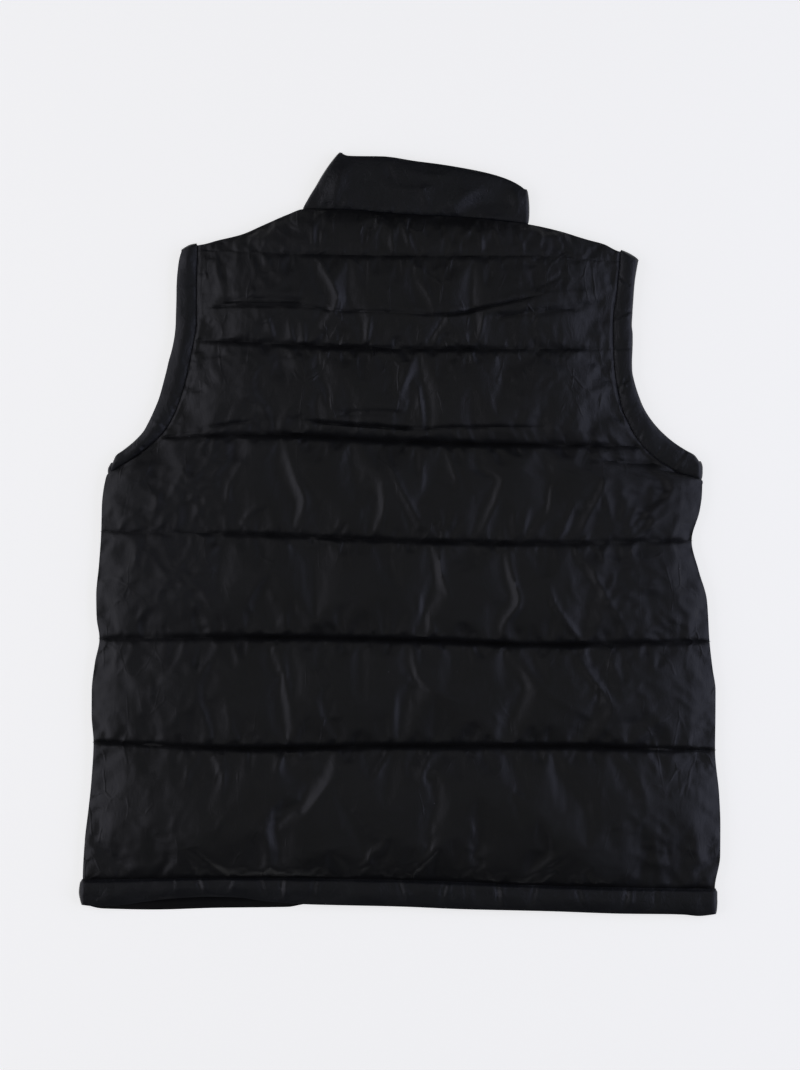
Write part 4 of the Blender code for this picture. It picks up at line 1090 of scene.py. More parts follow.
def quilt_front(side, quilt, seed):
    """Outer cloth of one front, -1 left or 1 right; it rests flat where it meets the surface."""
    share = np.linspace(0.0, 1.0, round(FRONT_WIDTH / quilt.front_cell) + 1)
    across = share * CENTRE_SHARE if side < 0 else 1.0 - share * (1.0 - CENTRE_SHARE)
    edge = LEFT_EDGE if side < 0 else RIGHT_EDGE

    def x_of(y):
        start = curve(edge, y[:, 0])[:, None]
        return start + (side * CENTRE_HALF - start) * share

    grid = laid_out(front_levels(across), x_of, quilt.front_crest / MM, quilt.front_cell / MM, {})
    grid.y[-1] = front_top(grid.x[-1])
    points = np.stack([grid.x, grid.y, front_height(grid)], -1)
    points, seam_rows, _ = refined_panel(points, grid.seam_rows, {})
    x, y = points[..., 0], points[..., 1]
    rng = np.random.default_rng(seed)
    creases = []
    low, high = sorted((side * 24.0, side * 280.0))
    for _ in range(FRONT_CREASES):
        start = np.array([rng.uniform(low, high), rng.uniform(-330.0, 250.0)])
        run = np.array([rng.normal(0.0, 14.0), rng.uniform(18.0, 62.0)])
        bend = start + run * rng.uniform(0.35, 0.65) + np.array([rng.normal(0.0, 5.0), 0.0])
        width, rise = rng.uniform(8.0, 18.0), rng.uniform(0.8, 2.4)
        creases.append(Crease(width, rise, (start, bend, start + run)))
    puckers = seam_puckers(front_levels, FRONT_ENDS, 1.0, seed + 1)
    rise = crease_rise(x, y, creases) + crease_rise(x, y, puckers, SEAM_PUCKER_PEAK)
    rise += rippled(x, y, FRONT_RIPPLE, seed + 2)
    rise *= freedom(points, seam_rows)
    points[..., 2] = np.clip(points[..., 2] - rise, 0.0, front_inside(x, y) - LEAST_FRONT)
    return points, seam_rows, crumple_field(x, y, seed + 6)


# Bands ---------------------------------------------------------------------------------------


def band_station(base, edge, height_of, way, thick):
    """Section of a band as one row of numbers: base, edge, outward normal and thickness."""
    return [*base, float(height_of(*base)), *edge, float(height_of(*edge)), 0.0, 0.0, way, thick]


def fold_stations(base, edge, side, reverse=False):
    """Sections that carry a band round its fold from the back to the fronts."""
    run = Vector(edge) - Vector(base)
    run.normalize()
    away = Vector((-run.y, run.x)) * side
    rows = []
    for angle in FOLD_ANGLES:
        turn = math.radians(angle)
        normal = (away.x * math.sin(turn), away.y * math.sin(turn), math.cos(turn))
        ends = [place + part * GAP / 2
                for point in (base, edge) for place, part in zip((*point, EDGE_HEIGHT), normal)]
        rows.append([*ends, *normal, FOLD_THICK])
    return rows[::-1] if reverse else rows


def spaced(stations, step, closed, ease):
    """Stations of a band at an even small step, with its thickness eased into the folds."""
    rows = np.array(stations, float)
    if closed:
        rows = np.vstack([rows, rows[:1]])
    moved = np.diff(rows, axis=0)
    lengths = (np.linalg.norm(moved[:, :3], axis=1) + np.linalg.norm(moved[:, 3:6], axis=1)) / 2
    lengths += TURN_LENGTH * np.linalg.norm(moved[:, 6:9], axis=1)
    places = np.concatenate([[0.0], np.cumsum(np.maximum(lengths, 1e-3))])
    count = round(places[-1] / step)
    at = np.linspace(0.0, places[-1], count + 1)
    fine = np.column_stack([curve(np.column_stack([places, column]), at) for column in rows.T])
    kernel = np.hanning(2 * ease + 3)[1:-1]
    kernel /= kernel.sum()
    thick = np.pad(fine[:, 9], ease, mode="wrap" if closed else "edge")
    fine[:, 9] = np.convolve(thick, kernel, "valid")
    fine[:, 6:9] /= np.linalg.norm(fine[:, 6:9], axis=1, keepdims=True)
    return (fine[:-1] if closed else fine), at[: len(fine) - int(closed)]


def skin_faces(count, size, closed):
    """Faces over a row of rings: joined to a loop, or capped at both ends."""
    faces = []
    for a in range(count if closed else count - 1):
        b = (a + 1) % count
        for i in range(size):
            j = (i + 1) % size
            faces.append([a * size + i, a * size + j, b * size + j, b * size + i])
    if not closed:
        faces += [list(range(size)), [(count - 1) * size + i for i in range(size)]]
    return faces


def band_mesh(name, stations, shares, closed, rise_of, step=2.0, ease=3, crowned=CROWN, drop=0.0):
    """Band skinned over its stations; rise_of(along, share, x, y, up) raises its outside."""
    rows, along = spaced(stations, step, closed, ease)
    base, edge, normal, thick = (rows[:, None, i:i + 3] for i in (0, 3, 6, 9))
    share = np.array(shares)[None, :, None]
    outer = base + (edge - base) * share + normal * thick * curve(crowned, share)
    rise = rise_of(along[:, None], share[..., 0], outer[..., 0], outer[..., 1], rows[:, None, 8])
    outer = outer + normal * rise[..., None]
    inner_share = np.array(INNER_SHARES)[None, :, None]
    inner = base + (edge - base) * inner_share
    under = drop * np.clip(-normal[..., 2:], 0.0, 1.0)
    for part, place in ((inner, inner_share), (outer, share)):
        part[..., 2:] -= under * np.clip((place - BEND_FROM) / BEND_REACH, 0.0, 1.0)
    rings = np.concatenate([outer, inner], 1)
    rings[..., 2] = np.maximum(rings[..., 2], 0.0)
    return closed_mesh(name, rings.reshape(-1, 3), skin_faces(*rings.shape[:2], closed)), outer


def evenly(line, count):
    """Points at even distances along a line."""
    places = np.concatenate([[0.0], np.cumsum(np.linalg.norm(np.diff(line, axis=0), axis=1))])
    at = np.linspace(0.0, places[-1], count)
    return np.column_stack([np.interp(at, places, column) for column in line.T])


def arm_stations(side):
    """Stations of one armhole binding: over the back, round the underarm, under the front, back up."""
    edge_table = LEFT_EDGE if side < 0 else RIGHT_EDGE
    underarm = LEFT_UNDERARM if side < 0 else RIGHT_UNDERARM
    heights = np.linspace(underarm, edge_table[-1][0], 120)
    seam = evenly(np.column_stack([curve(edge_table, heights), heights]), 26)
    edges = evenly(smooth_path(LEFT_ARM_RIM if side < 0 else RIGHT_ARM_RIM), 26)
    bases = seam - (edges - seam) / np.linalg.norm(edges - seam, axis=1, keepdims=True) * BAND_LAP
    over = [band_station(b, e, back_inside, 1.0, BINDING_THICK) for b, e in zip(bases, edges)][::-1]
    under = [band_station(b, e, front_inside, -1.0, BINDING_THICK) for b, e in zip(bases, edges)]
    tucked = [np.array(p) - (side * UNDERARM_TUCK, 0.0) for p in (bases[0], edges[0])]
    over[-1] = band_station(*tucked, back_inside, 1.0, BINDING_THICK)
    under[0] = band_station(*tucked, front_inside, -1.0, BINDING_THICK)
    rows = over + fold_stations(*tucked, -side) + under
    return rows + fold_stations(bases[-1], edges[-1], side, True)


def hem_stations():
    """Stations of the hem band from the zip round the left side, across the back and round again."""

    def sections(xs, across, table, height_of, way):
        rows = []
        for x, s in zip(xs, across):
            y = float(seam_height(SEAMS[0], s))
            edge = (x, float(curve(table, x)))
            rows.append(band_station((x, y + HEM_LIFT), edge, height_of, way, HEM_THICK))
        return rows

    left_x, right_x = LEFT_EDGE[0][1], RIGHT_EDGE[0][1]
    across = np.linspace(0.0, 1.0, 41)
    over_x = left_x + (right_x - left_x) * across
    half = np.linspace(0.0, 1.0, 19)
    left = sections(left_x + (-CENTRE_HALF - left_x) * half, half * CENTRE_SHARE, FRONT_HEM_EDGE,
                    front_inside, -1.0)
    right = sections(right_x + (CENTRE_HALF - right_x) * half, 1.0 - half * (1.0 - CENTRE_SHARE),
                     FRONT_HEM_EDGE, front_inside, -1.0)
    over = sections(over_x, across, HEM_EDGE, back_inside, 1.0)
    rows = left[::-1] + fold_stations(over[0][:2], over[0][3:5], -1, True) + over
    return rows + fold_stations(over[-1][:2], over[-1][3:5], 1) + right


def collar_stations():
    """Stations of the stand collar: its back half lies up from the neck, its front halves under it."""
    span = RIGHT_NECK_POINT - LEFT_NECK_POINT
    shares = np.linspace(0.0, 1.0, 21)
    xs = LEFT_NECK_POINT + span * shares
    bases = np.column_stack([xs, back_top(xs) - BAND_LAP])
    edges = np.column_stack([curve([row[:2] for row in COLLAR_EDGE], shares),
                             curve([(row[0], row[2]) for row in COLLAR_EDGE], shares)])
    fuller = smooth(np.minimum(shares, 1.0 - shares) / 0.3)
    rows = [band_station(b, e, back_inside, 1.0, FOLD_THICK + (COLLAR_THICK - FOLD_THICK) * full)
            for b, e, full in zip(bases, edges, fuller)]

    def front_half(point, fold):
        lean_end = edges[fold] - bases[fold]
        halves = []
        for share in np.linspace(0.0, 1.0, 11):
            x = math.copysign(CENTRE_HALF + (abs(point) - CENTRE_HALF) * share, point)
            base = np.array([x, float(front_top(x))])
            turn = float(smooth(share))
            lean = lean_end * turn + np.array([0.0, COLLAR_HEIGHT]) * (1.0 - turn)
            base = base + lean / np.linalg.norm(lean) * GAP
            halves.append(band_station(base, base + lean, front_inside, -1.0, COLLAR_THICK))
        return halves

    left, right = front_half(LEFT_NECK_POINT, 0), front_half(RIGHT_NECK_POINT, -1)
    first, last = (bases[0], edges[0]), (bases[-1], edges[-1])
    rows = left + fold_stations(*first, 1, True) + rows + fold_stations(*last, -1)
    return rows + right[::-1]


# Stitches and teeth by geometry nodes --------------------------------------------------------


def connect(tree, node, links):
    """Gives a node's inputs a value, a socket, or a node, which stands for its first output."""
    for socket, source in links:
        if isinstance(source, bpy.types.Node):
            source = source.outputs[0]
        if isinstance(source, bpy.types.NodeSocket):
            tree.links.new(source, node.inputs[socket])
        else:
            node.inputs[socket].default_value = source
    return node


def add(tree, kind, links=(), **settings):
    node = tree.nodes.new(kind)
    for name, value in settings.items():
        setattr(node, name, value)
    return connect(tree, node, links)


def maths(tree, operation, *values, kind="ShaderNodeMath"):
    return add(tree, kind, enumerate(values), operation=operation)


def mapped(tree, value, low, high, to_low=0.0, to_high=1.0, ease="LINEAR"):
    """Node that maps a value from one range to another."""
    return add(tree, "ShaderNodeMapRange", enumerate((value, low, high, to_low, to_high)),
               interpolation_type=ease)


def geometry_tree(name, **inputs):
    """Geometry node tree, its inputs, and points at every pitch along the edges of its mesh."""
    tree = bpy.data.node_groups.new(name, "GeometryNodeTree")
    tree.interface.new_socket("Geometry", in_out="INPUT", socket_type="NodeSocketGeometry")
    for label, value in inputs.items():
        kind = "NodeSocketInt" if isinstance(value, int) else "NodeSocketFloat"
        tree.interface.new_socket(label, in_out="INPUT", socket_type=kind).default_value = value
    tree.interface.new_socket("Geometry", in_out="OUTPUT", socket_type="NodeSocketGeometry")
    given = add(tree, "NodeGroupInput").outputs
    line = add(tree, "GeometryNodeMeshToCurve", [("Mesh", given["Geometry"])])
    steps = add(tree, "GeometryNodeResampleCurve", [("Curve", line), ("Length", given["Pitch"])],
                mode="LENGTH")
    return tree, given, steps


def made_real(tree, instances, material, *finishing):
    """Ends a tree with a mesh of its instances, in one material."""
    shape = instances
    for kind in ("GeometryNodeRealizeInstances", *finishing):
        shape = add(tree, kind, [("Geometry", shape)])
    painted = add(tree, "GeometryNodeSetMaterial", [("Geometry", shape), ("Material", material)])
    add(tree, "NodeGroupOutput", [("Geometry", painted)])
    return tree


def stitch_tree(material):
    """Runs of stitches along the edges of a mesh: a short rounded thread at each step."""
    tree, given, steps = geometry_tree(
        "stitch run", Pitch=0.0034, Length=0.0025, Thread=0.0005, Seed=7)
    bead = add(tree, "GeometryNodeMeshUVSphere", [("Segments", 6), ("Rings", 5), ("Radius", 0.5)])
    size = add(tree, "ShaderNodeCombineXYZ", enumerate((
        given["Length"], given["Thread"], given["Thread"])))
    shaped = add(tree, "GeometryNodeTransform", [("Geometry", bead), ("Scale", size)])
    tangent = add(tree, "GeometryNodeInputTangent")
    turn = add(tree, "FunctionNodeAlignRotationToVector", [("Vector", tangent)], axis="X")
    placed = add(tree, "GeometryNodeInstanceOnPoints", [
        ("Points", steps), ("Instance", shaped), ("Rotation", turn)])
    swing = add(tree, "FunctionNodeRandomValue", [
        ("Min", (-0.05, -0.04, -0.10)), ("Max", (0.05, 0.04, 0.10)), ("Seed", given["Seed"])],
        data_type="FLOAT_VECTOR")
    turned = add(tree, "GeometryNodeRotateInstances", [("Instances", placed), ("Rotation", swing)])
    return made_real(tree, turned, material, "GeometryNodeSetShadeSmooth")


def tooth_tree(material):
    """Moulded teeth along a zip's edge: a stem on the tape and a wider head at its end."""
    tree, given, steps = geometry_tree(
        "tooth row", Pitch=0.003, Reach=0.0029, Thickness=0.0027, Side=1.0)
    parts = add(tree, "GeometryNodeJoinGeometry")
    for reach, wide, thick, shift in TOOTH_BLOCKS:
        block = add(tree, "GeometryNodeMeshCube", [("Size", (1.0, 1.0, 1.0))])
        sizes = (("Reach", reach), ("Pitch", wide), ("Thickness", thick))
        size = add(tree, "ShaderNodeCombineXYZ", enumerate(
            maths(tree, "MULTIPLY", given[label], share) for label, share in sizes))
        out_by = maths(tree, "MULTIPLY", given["Reach"], shift)
        place = add(tree, "ShaderNodeCombineXYZ", [(0, maths(tree, "MULTIPLY", out_by, given["Side"]))])
        moved = add(tree, "GeometryNodeTransform", [
            ("Geometry", block), ("Translation", place), ("Scale", size)])
        connect(tree, parts, [("Geometry", moved)])
    placed = add(tree, "GeometryNodeInstanceOnPoints", [("Points", steps), ("Instance", parts)])
    return made_real(tree, placed, material)


def along_lines(name, lines, tree, values):
    """Plain mesh that a geometry node tree makes along lines given in millimetres."""
    points, edges = [], []
    for line in lines:
        start = len(points)
        points += (np.asarray(line, float) * MM).tolist()
        edges += [(start + i, start + i + 1) for i in range(len(line) - 1)]
    guide = bpy.data.meshes.new(f"{name} guide")
    guide.from_pydata(points, edges, [])
    thing = bpy.data.objects.new(name, guide)
    bpy.context.scene.collection.objects.link(thing)
    modifier = thing.modifiers.new("nodes", "NODES")
    modifier.node_group = tree
    for item in tree.interface.items_tree:
        if item.in_out == "INPUT" and item.name in values:
            modifier[item.identifier] = values[item.name]
    evaluated = thing.evaluated_get(bpy.context.evaluated_depsgraph_get())
    mesh = bpy.data.meshes.new_from_object(evaluated)
    thing.modifiers.clear()
    thing.data = mesh
    mesh.name = name
    return thing


# Materials -----------------------------------------------------------------------------------


def shader_group(name, outputs, **inputs):
    """Shader node group of named floats, its inputs, and the object coordinates in it."""
    group = bpy.data.node_groups.new(name, "ShaderNodeTree")
    for way, labels in (("INPUT", inputs), ("OUTPUT", outputs)):
        for label in labels:
            socket = group.interface.new_socket(label, in_out=way, socket_type="NodeSocketFloat")
            socket.default_value = inputs.get(label, 0.0)
    place = add(group, "ShaderNodeTexCoord").outputs["Object"]
    return group, add(group, "NodeGroupInput").outputs, place


def weave_group():
    """Plain weave: the height of crossing yarns."""
    group, given, place = shader_group("plain weave", ("Height",), Pitch=0.0006, Tilt=0.0)
    turned = add(group, "ShaderNodeVectorRotate", [("Vector", place), ("Angle", given["Tilt"])],
                 rotation_type="Z_AXIS")
    split = add(group, "ShaderNodeSeparateXYZ", [("Vector", turned)])
    waves = []
    for axis in ("X", "Y"):
        turns = maths(group, "DIVIDE", split.outputs[axis], given["Pitch"])
        waves.append(maths(group, "SINE", maths(group, "MULTIPLY", turns, math.pi)))
    height = maths(group, "MULTIPLY_ADD", maths(group, "MULTIPLY", *waves), 0.5, 0.5)
    add(group, "NodeGroupOutput", [("Height", height)])
    return group


def crinkle_group():
    """Soft crinkles of crisp nylon, thin sharp creases over them, and a soft mottling mask."""
    group, given, place = shader_group(
        "crinkle", ("Height", "Veins", "Mottle"), Scale=60.0, Stretch=0.45, Veining=42.0)

    def vectors(operation, *values):
        return maths(group, operation, *values, kind="ShaderNodeVectorMath")

    def noise(where, scale, detail, roughness=0.5):
        return add(group, "ShaderNodeTexNoise", [
            ("Vector", where), ("Scale", scale), ("Detail", detail), ("Roughness", roughness)])

    size = add(group, "ShaderNodeCombineXYZ", enumerate((1.0, given["Stretch"], 1.0)))
    drawn = vectors("MULTIPLY", place, size)
    warp = noise(drawn, given["Scale"], 2.0)
    centred = vectors("SUBTRACT", warp.outputs["Color"], (0.5, 0.5, 0.5))
    moved = vectors("ADD", drawn, vectors("MULTIPLY", centred, (0.03, 0.03, 0.03)))
    fine = noise(moved, given["Scale"], 4.5, 0.6)
    ridge = maths(group, "ABSOLUTE", maths(group, "SUBTRACT", fine, 0.5))
    swayed = vectors("ADD", drawn, vectors("MULTIPLY", centred, (0.008, 0.008, 0.0)))
    lines = add(group, "ShaderNodeTexVoronoi", [("Vector", swayed), ("Scale", given["Veining"])],
                feature="DISTANCE_TO_EDGE")
    peak = mapped(group, lines.outputs["Distance"], 0.0, 0.06, 1.0, 0.0, "SMOOTHSTEP")
    parts = noise(vectors("ADD", place, (3.7, 1.3, 0.0)), 34.0, 1.0)
    some = mapped(group, parts, 0.5, 0.62, ease="SMOOTHSTEP")
    add(group, "NodeGroupOutput", [
        ("Height", maths(group, "SUBTRACT", 0.5, ridge)),
        ("Veins", maths(group, "MULTIPLY", peak, some)),
        ("Mottle", noise(place, 26.0, 4.0, 0.6))])
    return group


def lint_group():
    """Sparse specks of lint: 1 in a speck and 0 elsewhere."""
    group, given, place = shader_group("lint", ("Mask",), Scale=180.0, Amount=0.02)
    cells = add(group, "ShaderNodeTexVoronoi", [("Vector", place), ("Scale", given["Scale"])])
    pick = add(group, "ShaderNodeSeparateColor", [("Color", cells.outputs["Color"])])
    chosen = maths(group, "LESS_THAN", pick.outputs["Red"], given["Amount"])
    small = maths(group, "LESS_THAN", cells.outputs["Distance"], SPECK)
    add(group, "NodeGroupOutput", [("Mask", maths(group, "MULTIPLY", chosen, small))])
    return group


def new_material(name, colour, roughness):
    """New material with its tree and shader, or the one that has the name, with None for both."""
    old = bpy.data.materials.get(name)
    if old:
        return old, None, None
    material = bpy.data.materials.new(name)
    material.use_nodes = True
    shader = material.node_tree.nodes["Principled BSDF"]
    shader.inputs["Base Color"].default_value = (*colour, 1.0)
    shader.inputs["Roughness"].default_value = roughness
    material.diffuse_color = (*colour, 1.0)
    return material, material.node_tree, shader


def placed_group(tree, name, make, **values):
    """Sockets of a shader node group, which is made where it isn't there yet."""
    group = bpy.data.node_groups.get(name) or make()
    return add(tree, "ShaderNodeGroup", values.items(), node_tree=group).outputs


def bump(tree, height, distance, strength=1.0, *under):
    links = [("Height", height), ("Distance", distance), ("Strength", strength)]
    return add(tree, "ShaderNodeBump", links + [("Normal", node) for node in under])


def mixed_colour(tree, share, first, second):
    links = [(0, share), (6, first), (7, second)]
    return add(tree, "ShaderNodeMix", links, data_type="RGBA").outputs[2]


def nylon(name, colour, roughness, crinkle, veins, scale, stretch=0.45, lint=0.0, worn=False):
    """Shiny woven nylon: a fine weave and crisp crinkles, mottled a little in colour and gloss."""
    material, tree, shader = new_material(name, colour, roughness)
    if tree is None:
        return material
    folds = placed_group(tree, "crinkle", crinkle_group, Scale=scale, Stretch=stretch)
    yarns = placed_group(tree, "plain weave", weave_group, Pitch=0.0006)
    normal = bump(tree, yarns["Height"], 0.00005, 0.5)
    for label, distance in (("Height", crinkle), ("Veins", veins)):
        if not distance:
            continue
        height = folds[label]
        if worn:
            share = add(tree, "ShaderNodeAttribute", attribute_name="crumple")
            height = maths(tree, "MULTIPLY", height, share.outputs["Fac"])
        normal = bump(tree, height, distance, 1.0, normal)
    dark, light = ((*(share * c for c in colour), 1.0) for share in MOTTLING)
    paint = mixed_colour(tree, mapped(tree, folds["Mottle"], 0.35, 0.65), dark, light)
    if lint:
        specks = placed_group(tree, "lint", lint_group, Amount=lint)
        paint = mixed_colour(tree, specks["Mask"], paint, LINT_COLOUR)
    rough = mapped(tree, folds["Mottle"], 0.3, 0.7, roughness - 0.03, roughness + 0.04)
    if worn:
        haze = add(tree, "ShaderNodeAttribute", attribute_name="haze")
        rough = maths(tree, "MULTIPLY_ADD", haze.outputs["Fac"], HAZE, rough)
    connect(tree, shader, [("Normal", normal), ("Base Color", paint), ("Roughness", rough)])
    return material


def woven(name, colour, roughness, pitch, depth, tilt=0.0, shine=0.5):
    """Dull cloth or twisted thread, with yarns at a given pitch and depth."""
    material, tree, shader = new_material(name, colour, roughness)
    if tree is not None:
        yarns = placed_group(tree, "plain weave", weave_group, Pitch=pitch, Tilt=tilt)
        normal = bump(tree, yarns["Height"], depth)
        connect(tree, shader, [("Specular IOR Level", shine), ("Normal", normal)])
    return material


def hard_finish(name, colour, roughness, metallic):
    """Moulded or cast zip part, a little uneven in gloss."""
    material, tree, shader = new_material(name, colour, roughness)
    if tree is not None:
        folds = placed_group(tree, "crinkle", crinkle_group, Scale=900.0, Stretch=1.0)
        gloss = mapped(tree, folds["Mottle"], 0.3, 0.7, roughness - 0.05, roughness + 0.08)
        pits = bump(tree, folds["Height"], 0.00003)
        connect(tree, shader, [("Metallic", metallic), ("Roughness", gloss), ("Normal", pits)])
    return material


def shell_finish(colours):
    return nylon("black quilting nylon", colours.nylon, 0.42, 0.00095, 0.0003, 55.0, lint=0.004,
                 worn=True)


def band_finish(colours):
    return nylon("black band nylon", colours.band, 0.41, 0.001, 0.0, 80.0, 0.8)


# Darker, duller lining for the inside of the hem band. On the fronts that inside faces up beside the
# back's hem, and there its dark tone also stands in as painted shade for the gap under that hem.
def lining_and_shade_finish(colours):
    return woven("black lining taffeta and painted shade", colours.thread, 0.6, 0.0007, 0.0001, shine=0.12)


def tape_finish(colours):
    return woven("black woven zip tape", colours.tape, 0.75, 0.0007, 0.0002)


def thread_finish(colours):
    return woven("black sewing thread", colours.thread, 0.8, 0.0003, 0.00006, 0.6, 0.3)


# Operators -----------------------------------------------------------------------------------


class VEST_OT_back(bpy.types.Operator):
    """Swell the back's quilted cloth and crease it"""

    bl_idname = "vest.back"
    bl_label = "Quilted back"

    def execute(self, context):
        scene = context.scene
        seed = scene.vest_trim.seed
        outer, seam_rows, guide_rows = quilt_back(scene.vest_quilt, seed)
        outer, crumple = detail_back(outer, seam_rows, guide_rows, scene.vest_quilt, seed)
        SEAM_LINES["back"] = [outer[row] - (0.0, 0.0, 0.1) for row in seam_rows[1:-1]]
        thing = closed_panel("quilted_back", outer, back_inside, crumple)
        finished(thing, shell_finish(scene.vest_colours), ("back",))
        return {"FINISHED"}


class VEST_OT_fronts(bpy.types.Operator):
    """Shape the two quilted fronts, flat where they rest"""

    bl_idname = "vest.fronts"
    bl_label = "Quilted fronts"

    def execute(self, context):
        scene = context.scene
        SEAM_LINES["front"] = []
        for side, word in ((-1, "left"), (1, "right")):
            seed = scene.vest_trim.seed + 20 + side
            outer, seam_rows, crumple = quilt_front(side, scene.vest_quilt, seed)
            SEAM_LINES["front"] += [outer[row] - (0.0, 0.0, 0.2) for row in seam_rows[1:-1]]
            thing = closed_panel(f"quilted_front_{word}", outer, front_inside, crumple)
            finished(thing, shell_finish(scene.vest_colours), (f"front_{word}",))
        return {"FINISHED"}


class VEST_OT_bindings(bpy.types.Operator):
    """Bind the two armholes"""

    bl_idname = "vest.bindings"
    bl_label = "Armhole bindings"

    def execute(self, context):
        scene = context.scene
        seed = scene.vest_trim.seed
        SEAM_LINES["binding"] = []
        for side, word in ((-1, "left"), (1, "right")):
            rng = np.random.default_rng(seed + 70 + side)
            tucks = np.cumsum(rng.uniform(9.0, 42.0, TUCKS))
            depths, leans = rng.uniform(0.3, 0.95, TUCKS), rng.normal(0.0, 5.0, TUCKS)
            reaches = rng.choice((0.5, 0.8, 1.4), TUCKS)
            broad, fine = BINDING_RIPPLES

            def rise_of(along, share, x, y, up):
                rise = rippled(x, y, broad, seed + 30 + side) + rippled(x, y, fine, seed + 33)
                rise *= np.sin(np.pi * share)
                for place, size, lean, reach in zip(tucks, depths, leans, reaches):
                    away = along - place - lean * share
                    fade = smooth((reach - share) / 0.35) * smooth(share / 0.14)
                    rise += size * fade * (lipped(away, TUCK_LIP) - bell(away, TUCK_HALF))
                return rise

            thing, outer = band_mesh(
                f"armhole_binding_{word}", arm_stations(side), BINDING_SHARES, True, rise_of, step=1.6,
                crowned=LEFT_CROWN if side < 0 else RIGHT_CROWN)
            finished(thing, band_finish(scene.vest_colours), (f"arm_binding_{word}",))
            SEAM_LINES["binding"].append(outer[:, 1] + (0.0, 0.0, 0.1))
        return {"FINISHED"}


class VEST_OT_hem(bpy.types.Operator):
    """Sew the hem band on"""

    bl_idname = "vest.hem"
    bl_label = "Hem band"

    def execute(self, context):
        scene = context.scene
        seed = scene.vest_trim.seed
        broad, fine = HEM_RIPPLES

        def rise_of(along, share, x, y, up):
            soft = rippled(x, y, broad, seed + 40) + rippled(x, y, fine, seed + 41)
            soft = soft * np.sin(np.pi * share)
            pucker = np.zeros(x.shape)
            for number, place in enumerate(HEM_PUCKERS):
                lean = 9.0 * math.sin(number * 2.4)
                size = 0.8 + 0.7 * math.sin(number * 5.1) ** 2
                away = x - place - lean * (share - 0.5)
                pucker += size * (lipped(away, PUCKER_LIP) - bell(away, PUCKER_HALF))
            pucker *= np.sin(np.pi * np.clip(share + 0.15, 0, 1)) * (up > 0.5)
            return soft + pucker - lipped(share, HEM_GROOVE)

        thing, outer = band_mesh(
            "hem_band_cloth", hem_stations(), HEM_SHARES, False, rise_of, drop=HEM_DROP)
        finished(thing, band_finish(scene.vest_colours), ("hem_band",))
        # The band's inner faces get the lining, which is also painted shade where the fronts' hem shows
        # beside the back's hem.
        thing.data.materials.append(lining_and_shade_finish(scene.vest_colours))
        place = np.arange(len(thing.data.polygons)) % (len(HEM_SHARES) + len(INNER_SHARES))
        thing.data.polygons.foreach_set("material_index", (place >= len(HEM_SHARES)).astype(np.int32))
        SEAM_LINES["hem"] = [outer[:, 2] + (0.0, 0.0, 0.1)]
        return {"FINISHED"}


class VEST_OT_collar(bpy.types.Operator):
    """Shape the padded stand collar"""

    bl_idname = "vest.collar"
    bl_label = "Stand collar"

    def execute(self, context):
        scene = context.scene
        seed = scene.vest_trim.seed
        broad, fine = COLLAR_RIPPLES

        def rise_of(along, share, x, y, up):
            soft = rippled(x, y, broad, seed + 50) + rippled(x, y, fine, seed + 51)
            rise = soft * np.sin(np.pi * share) ** 0.5
            top = crease_rise(x, y, COLLAR_CREASES) + crease_rise(x, y, collar_puckers(seed + 52), 0.15)
            return rise + np.where(up > 0.5, top, 0.0) * smooth(share / 0.05)

        thing, outer = band_mesh(
            "stand_collar", collar_stations(), COLLAR_SHARES, False, rise_of, ease=5,
            crowned=COLLAR_CROWN)
        finished(thing, band_finish(scene.vest_colours), ("collar",))
        SEAM_LINES["collar"] = [outer[:, 1]]
        return {"FINISHED"}


def collar_puckers(seed):
    """Gathers that run up into the collar from its seam."""
    rng = np.random.default_rng(seed)
    puckers, x = [], -92.0
    while x < 60.0:
        y, length = float(back_top(x)), rng.uniform(7.0, 20.0)
        width, rise = rng.uniform(5.0, 8.5), rng.uniform(0.5, 1.3) * rng.choice((1.0, 1.0, -0.8))
        puckers.append(Crease(width, rise, ((x, y + 2.0), (x + rng.normal(0.0, 4.0), y + length))))
        x += rng.uniform(5.0, 13.0)
    return puckers


class VEST_OT_zip(bpy.types.Operator):
    """Build the zip's tapes and teeth, and give its slider and pull their metal finish"""

    bl_idname = "vest.zip"
    bl_label = "Zip"

    def execute(self, context):
        scene = context.scene
        colours = scene.vest_colours
        teeth = hard_finish("black moulded teeth", colours.teeth, 0.4, 0.0)
        metal = hard_finish("black zip metal", colours.metal, 0.32, 0.9)
        places = np.concatenate([np.arange(ZIP_BOTTOM, ZIP_TOP, TAPE_STEP), [ZIP_TOP]])
        heights = front_inside(np.full(places.shape, CENTRE_HALF), places) - ZIP_DROP
        tree = tooth_tree(teeth)
        for side, word in ((-1, "left"), (1, "right")):
            thing = tape_mesh(f"woven_tape_{word}", side, places, heights)
            finished(thing, tape_finish(colours), (f"zip_tape_{word}",))
            start = ZIP_BOTTOM + TEETH_FROM + (TEETH_SHIFT if side > 0 else 0.0)
            keep = (places > start) & (places < SLIDER_TOP - SLIDER_LENGTH / 2)
            line = np.column_stack([np.full(keep.sum(), side * TEETH_X), places[keep], heights[keep]])
            line[0, 1] = start
            row = along_lines(f"zip_teeth_{word}", [line], tree, {
                "Pitch": scene.vest_trim.tooth_pitch, "Reach": TOOTH_REACH, "Thickness": TOOTH_THICK,
                "Side": float(-side)})
            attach(row, BODY)
        for node in ("zip_slider", "zip_pull"):
            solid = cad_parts[node]
            solid.data.materials.clear()
            solid.data.materials.append(metal)
        return {"FINISHED"}


def tape_mesh(name, side, places, heights):
    """One woven tape, ribbed beside its teeth."""
    points = [(side * x, y, z + rise) for y, z in zip(places, heights) for x, rise in TAPE_SECTION]
    return closed_mesh(name, points, skin_faces(len(places), len(TAPE_SECTION), False))


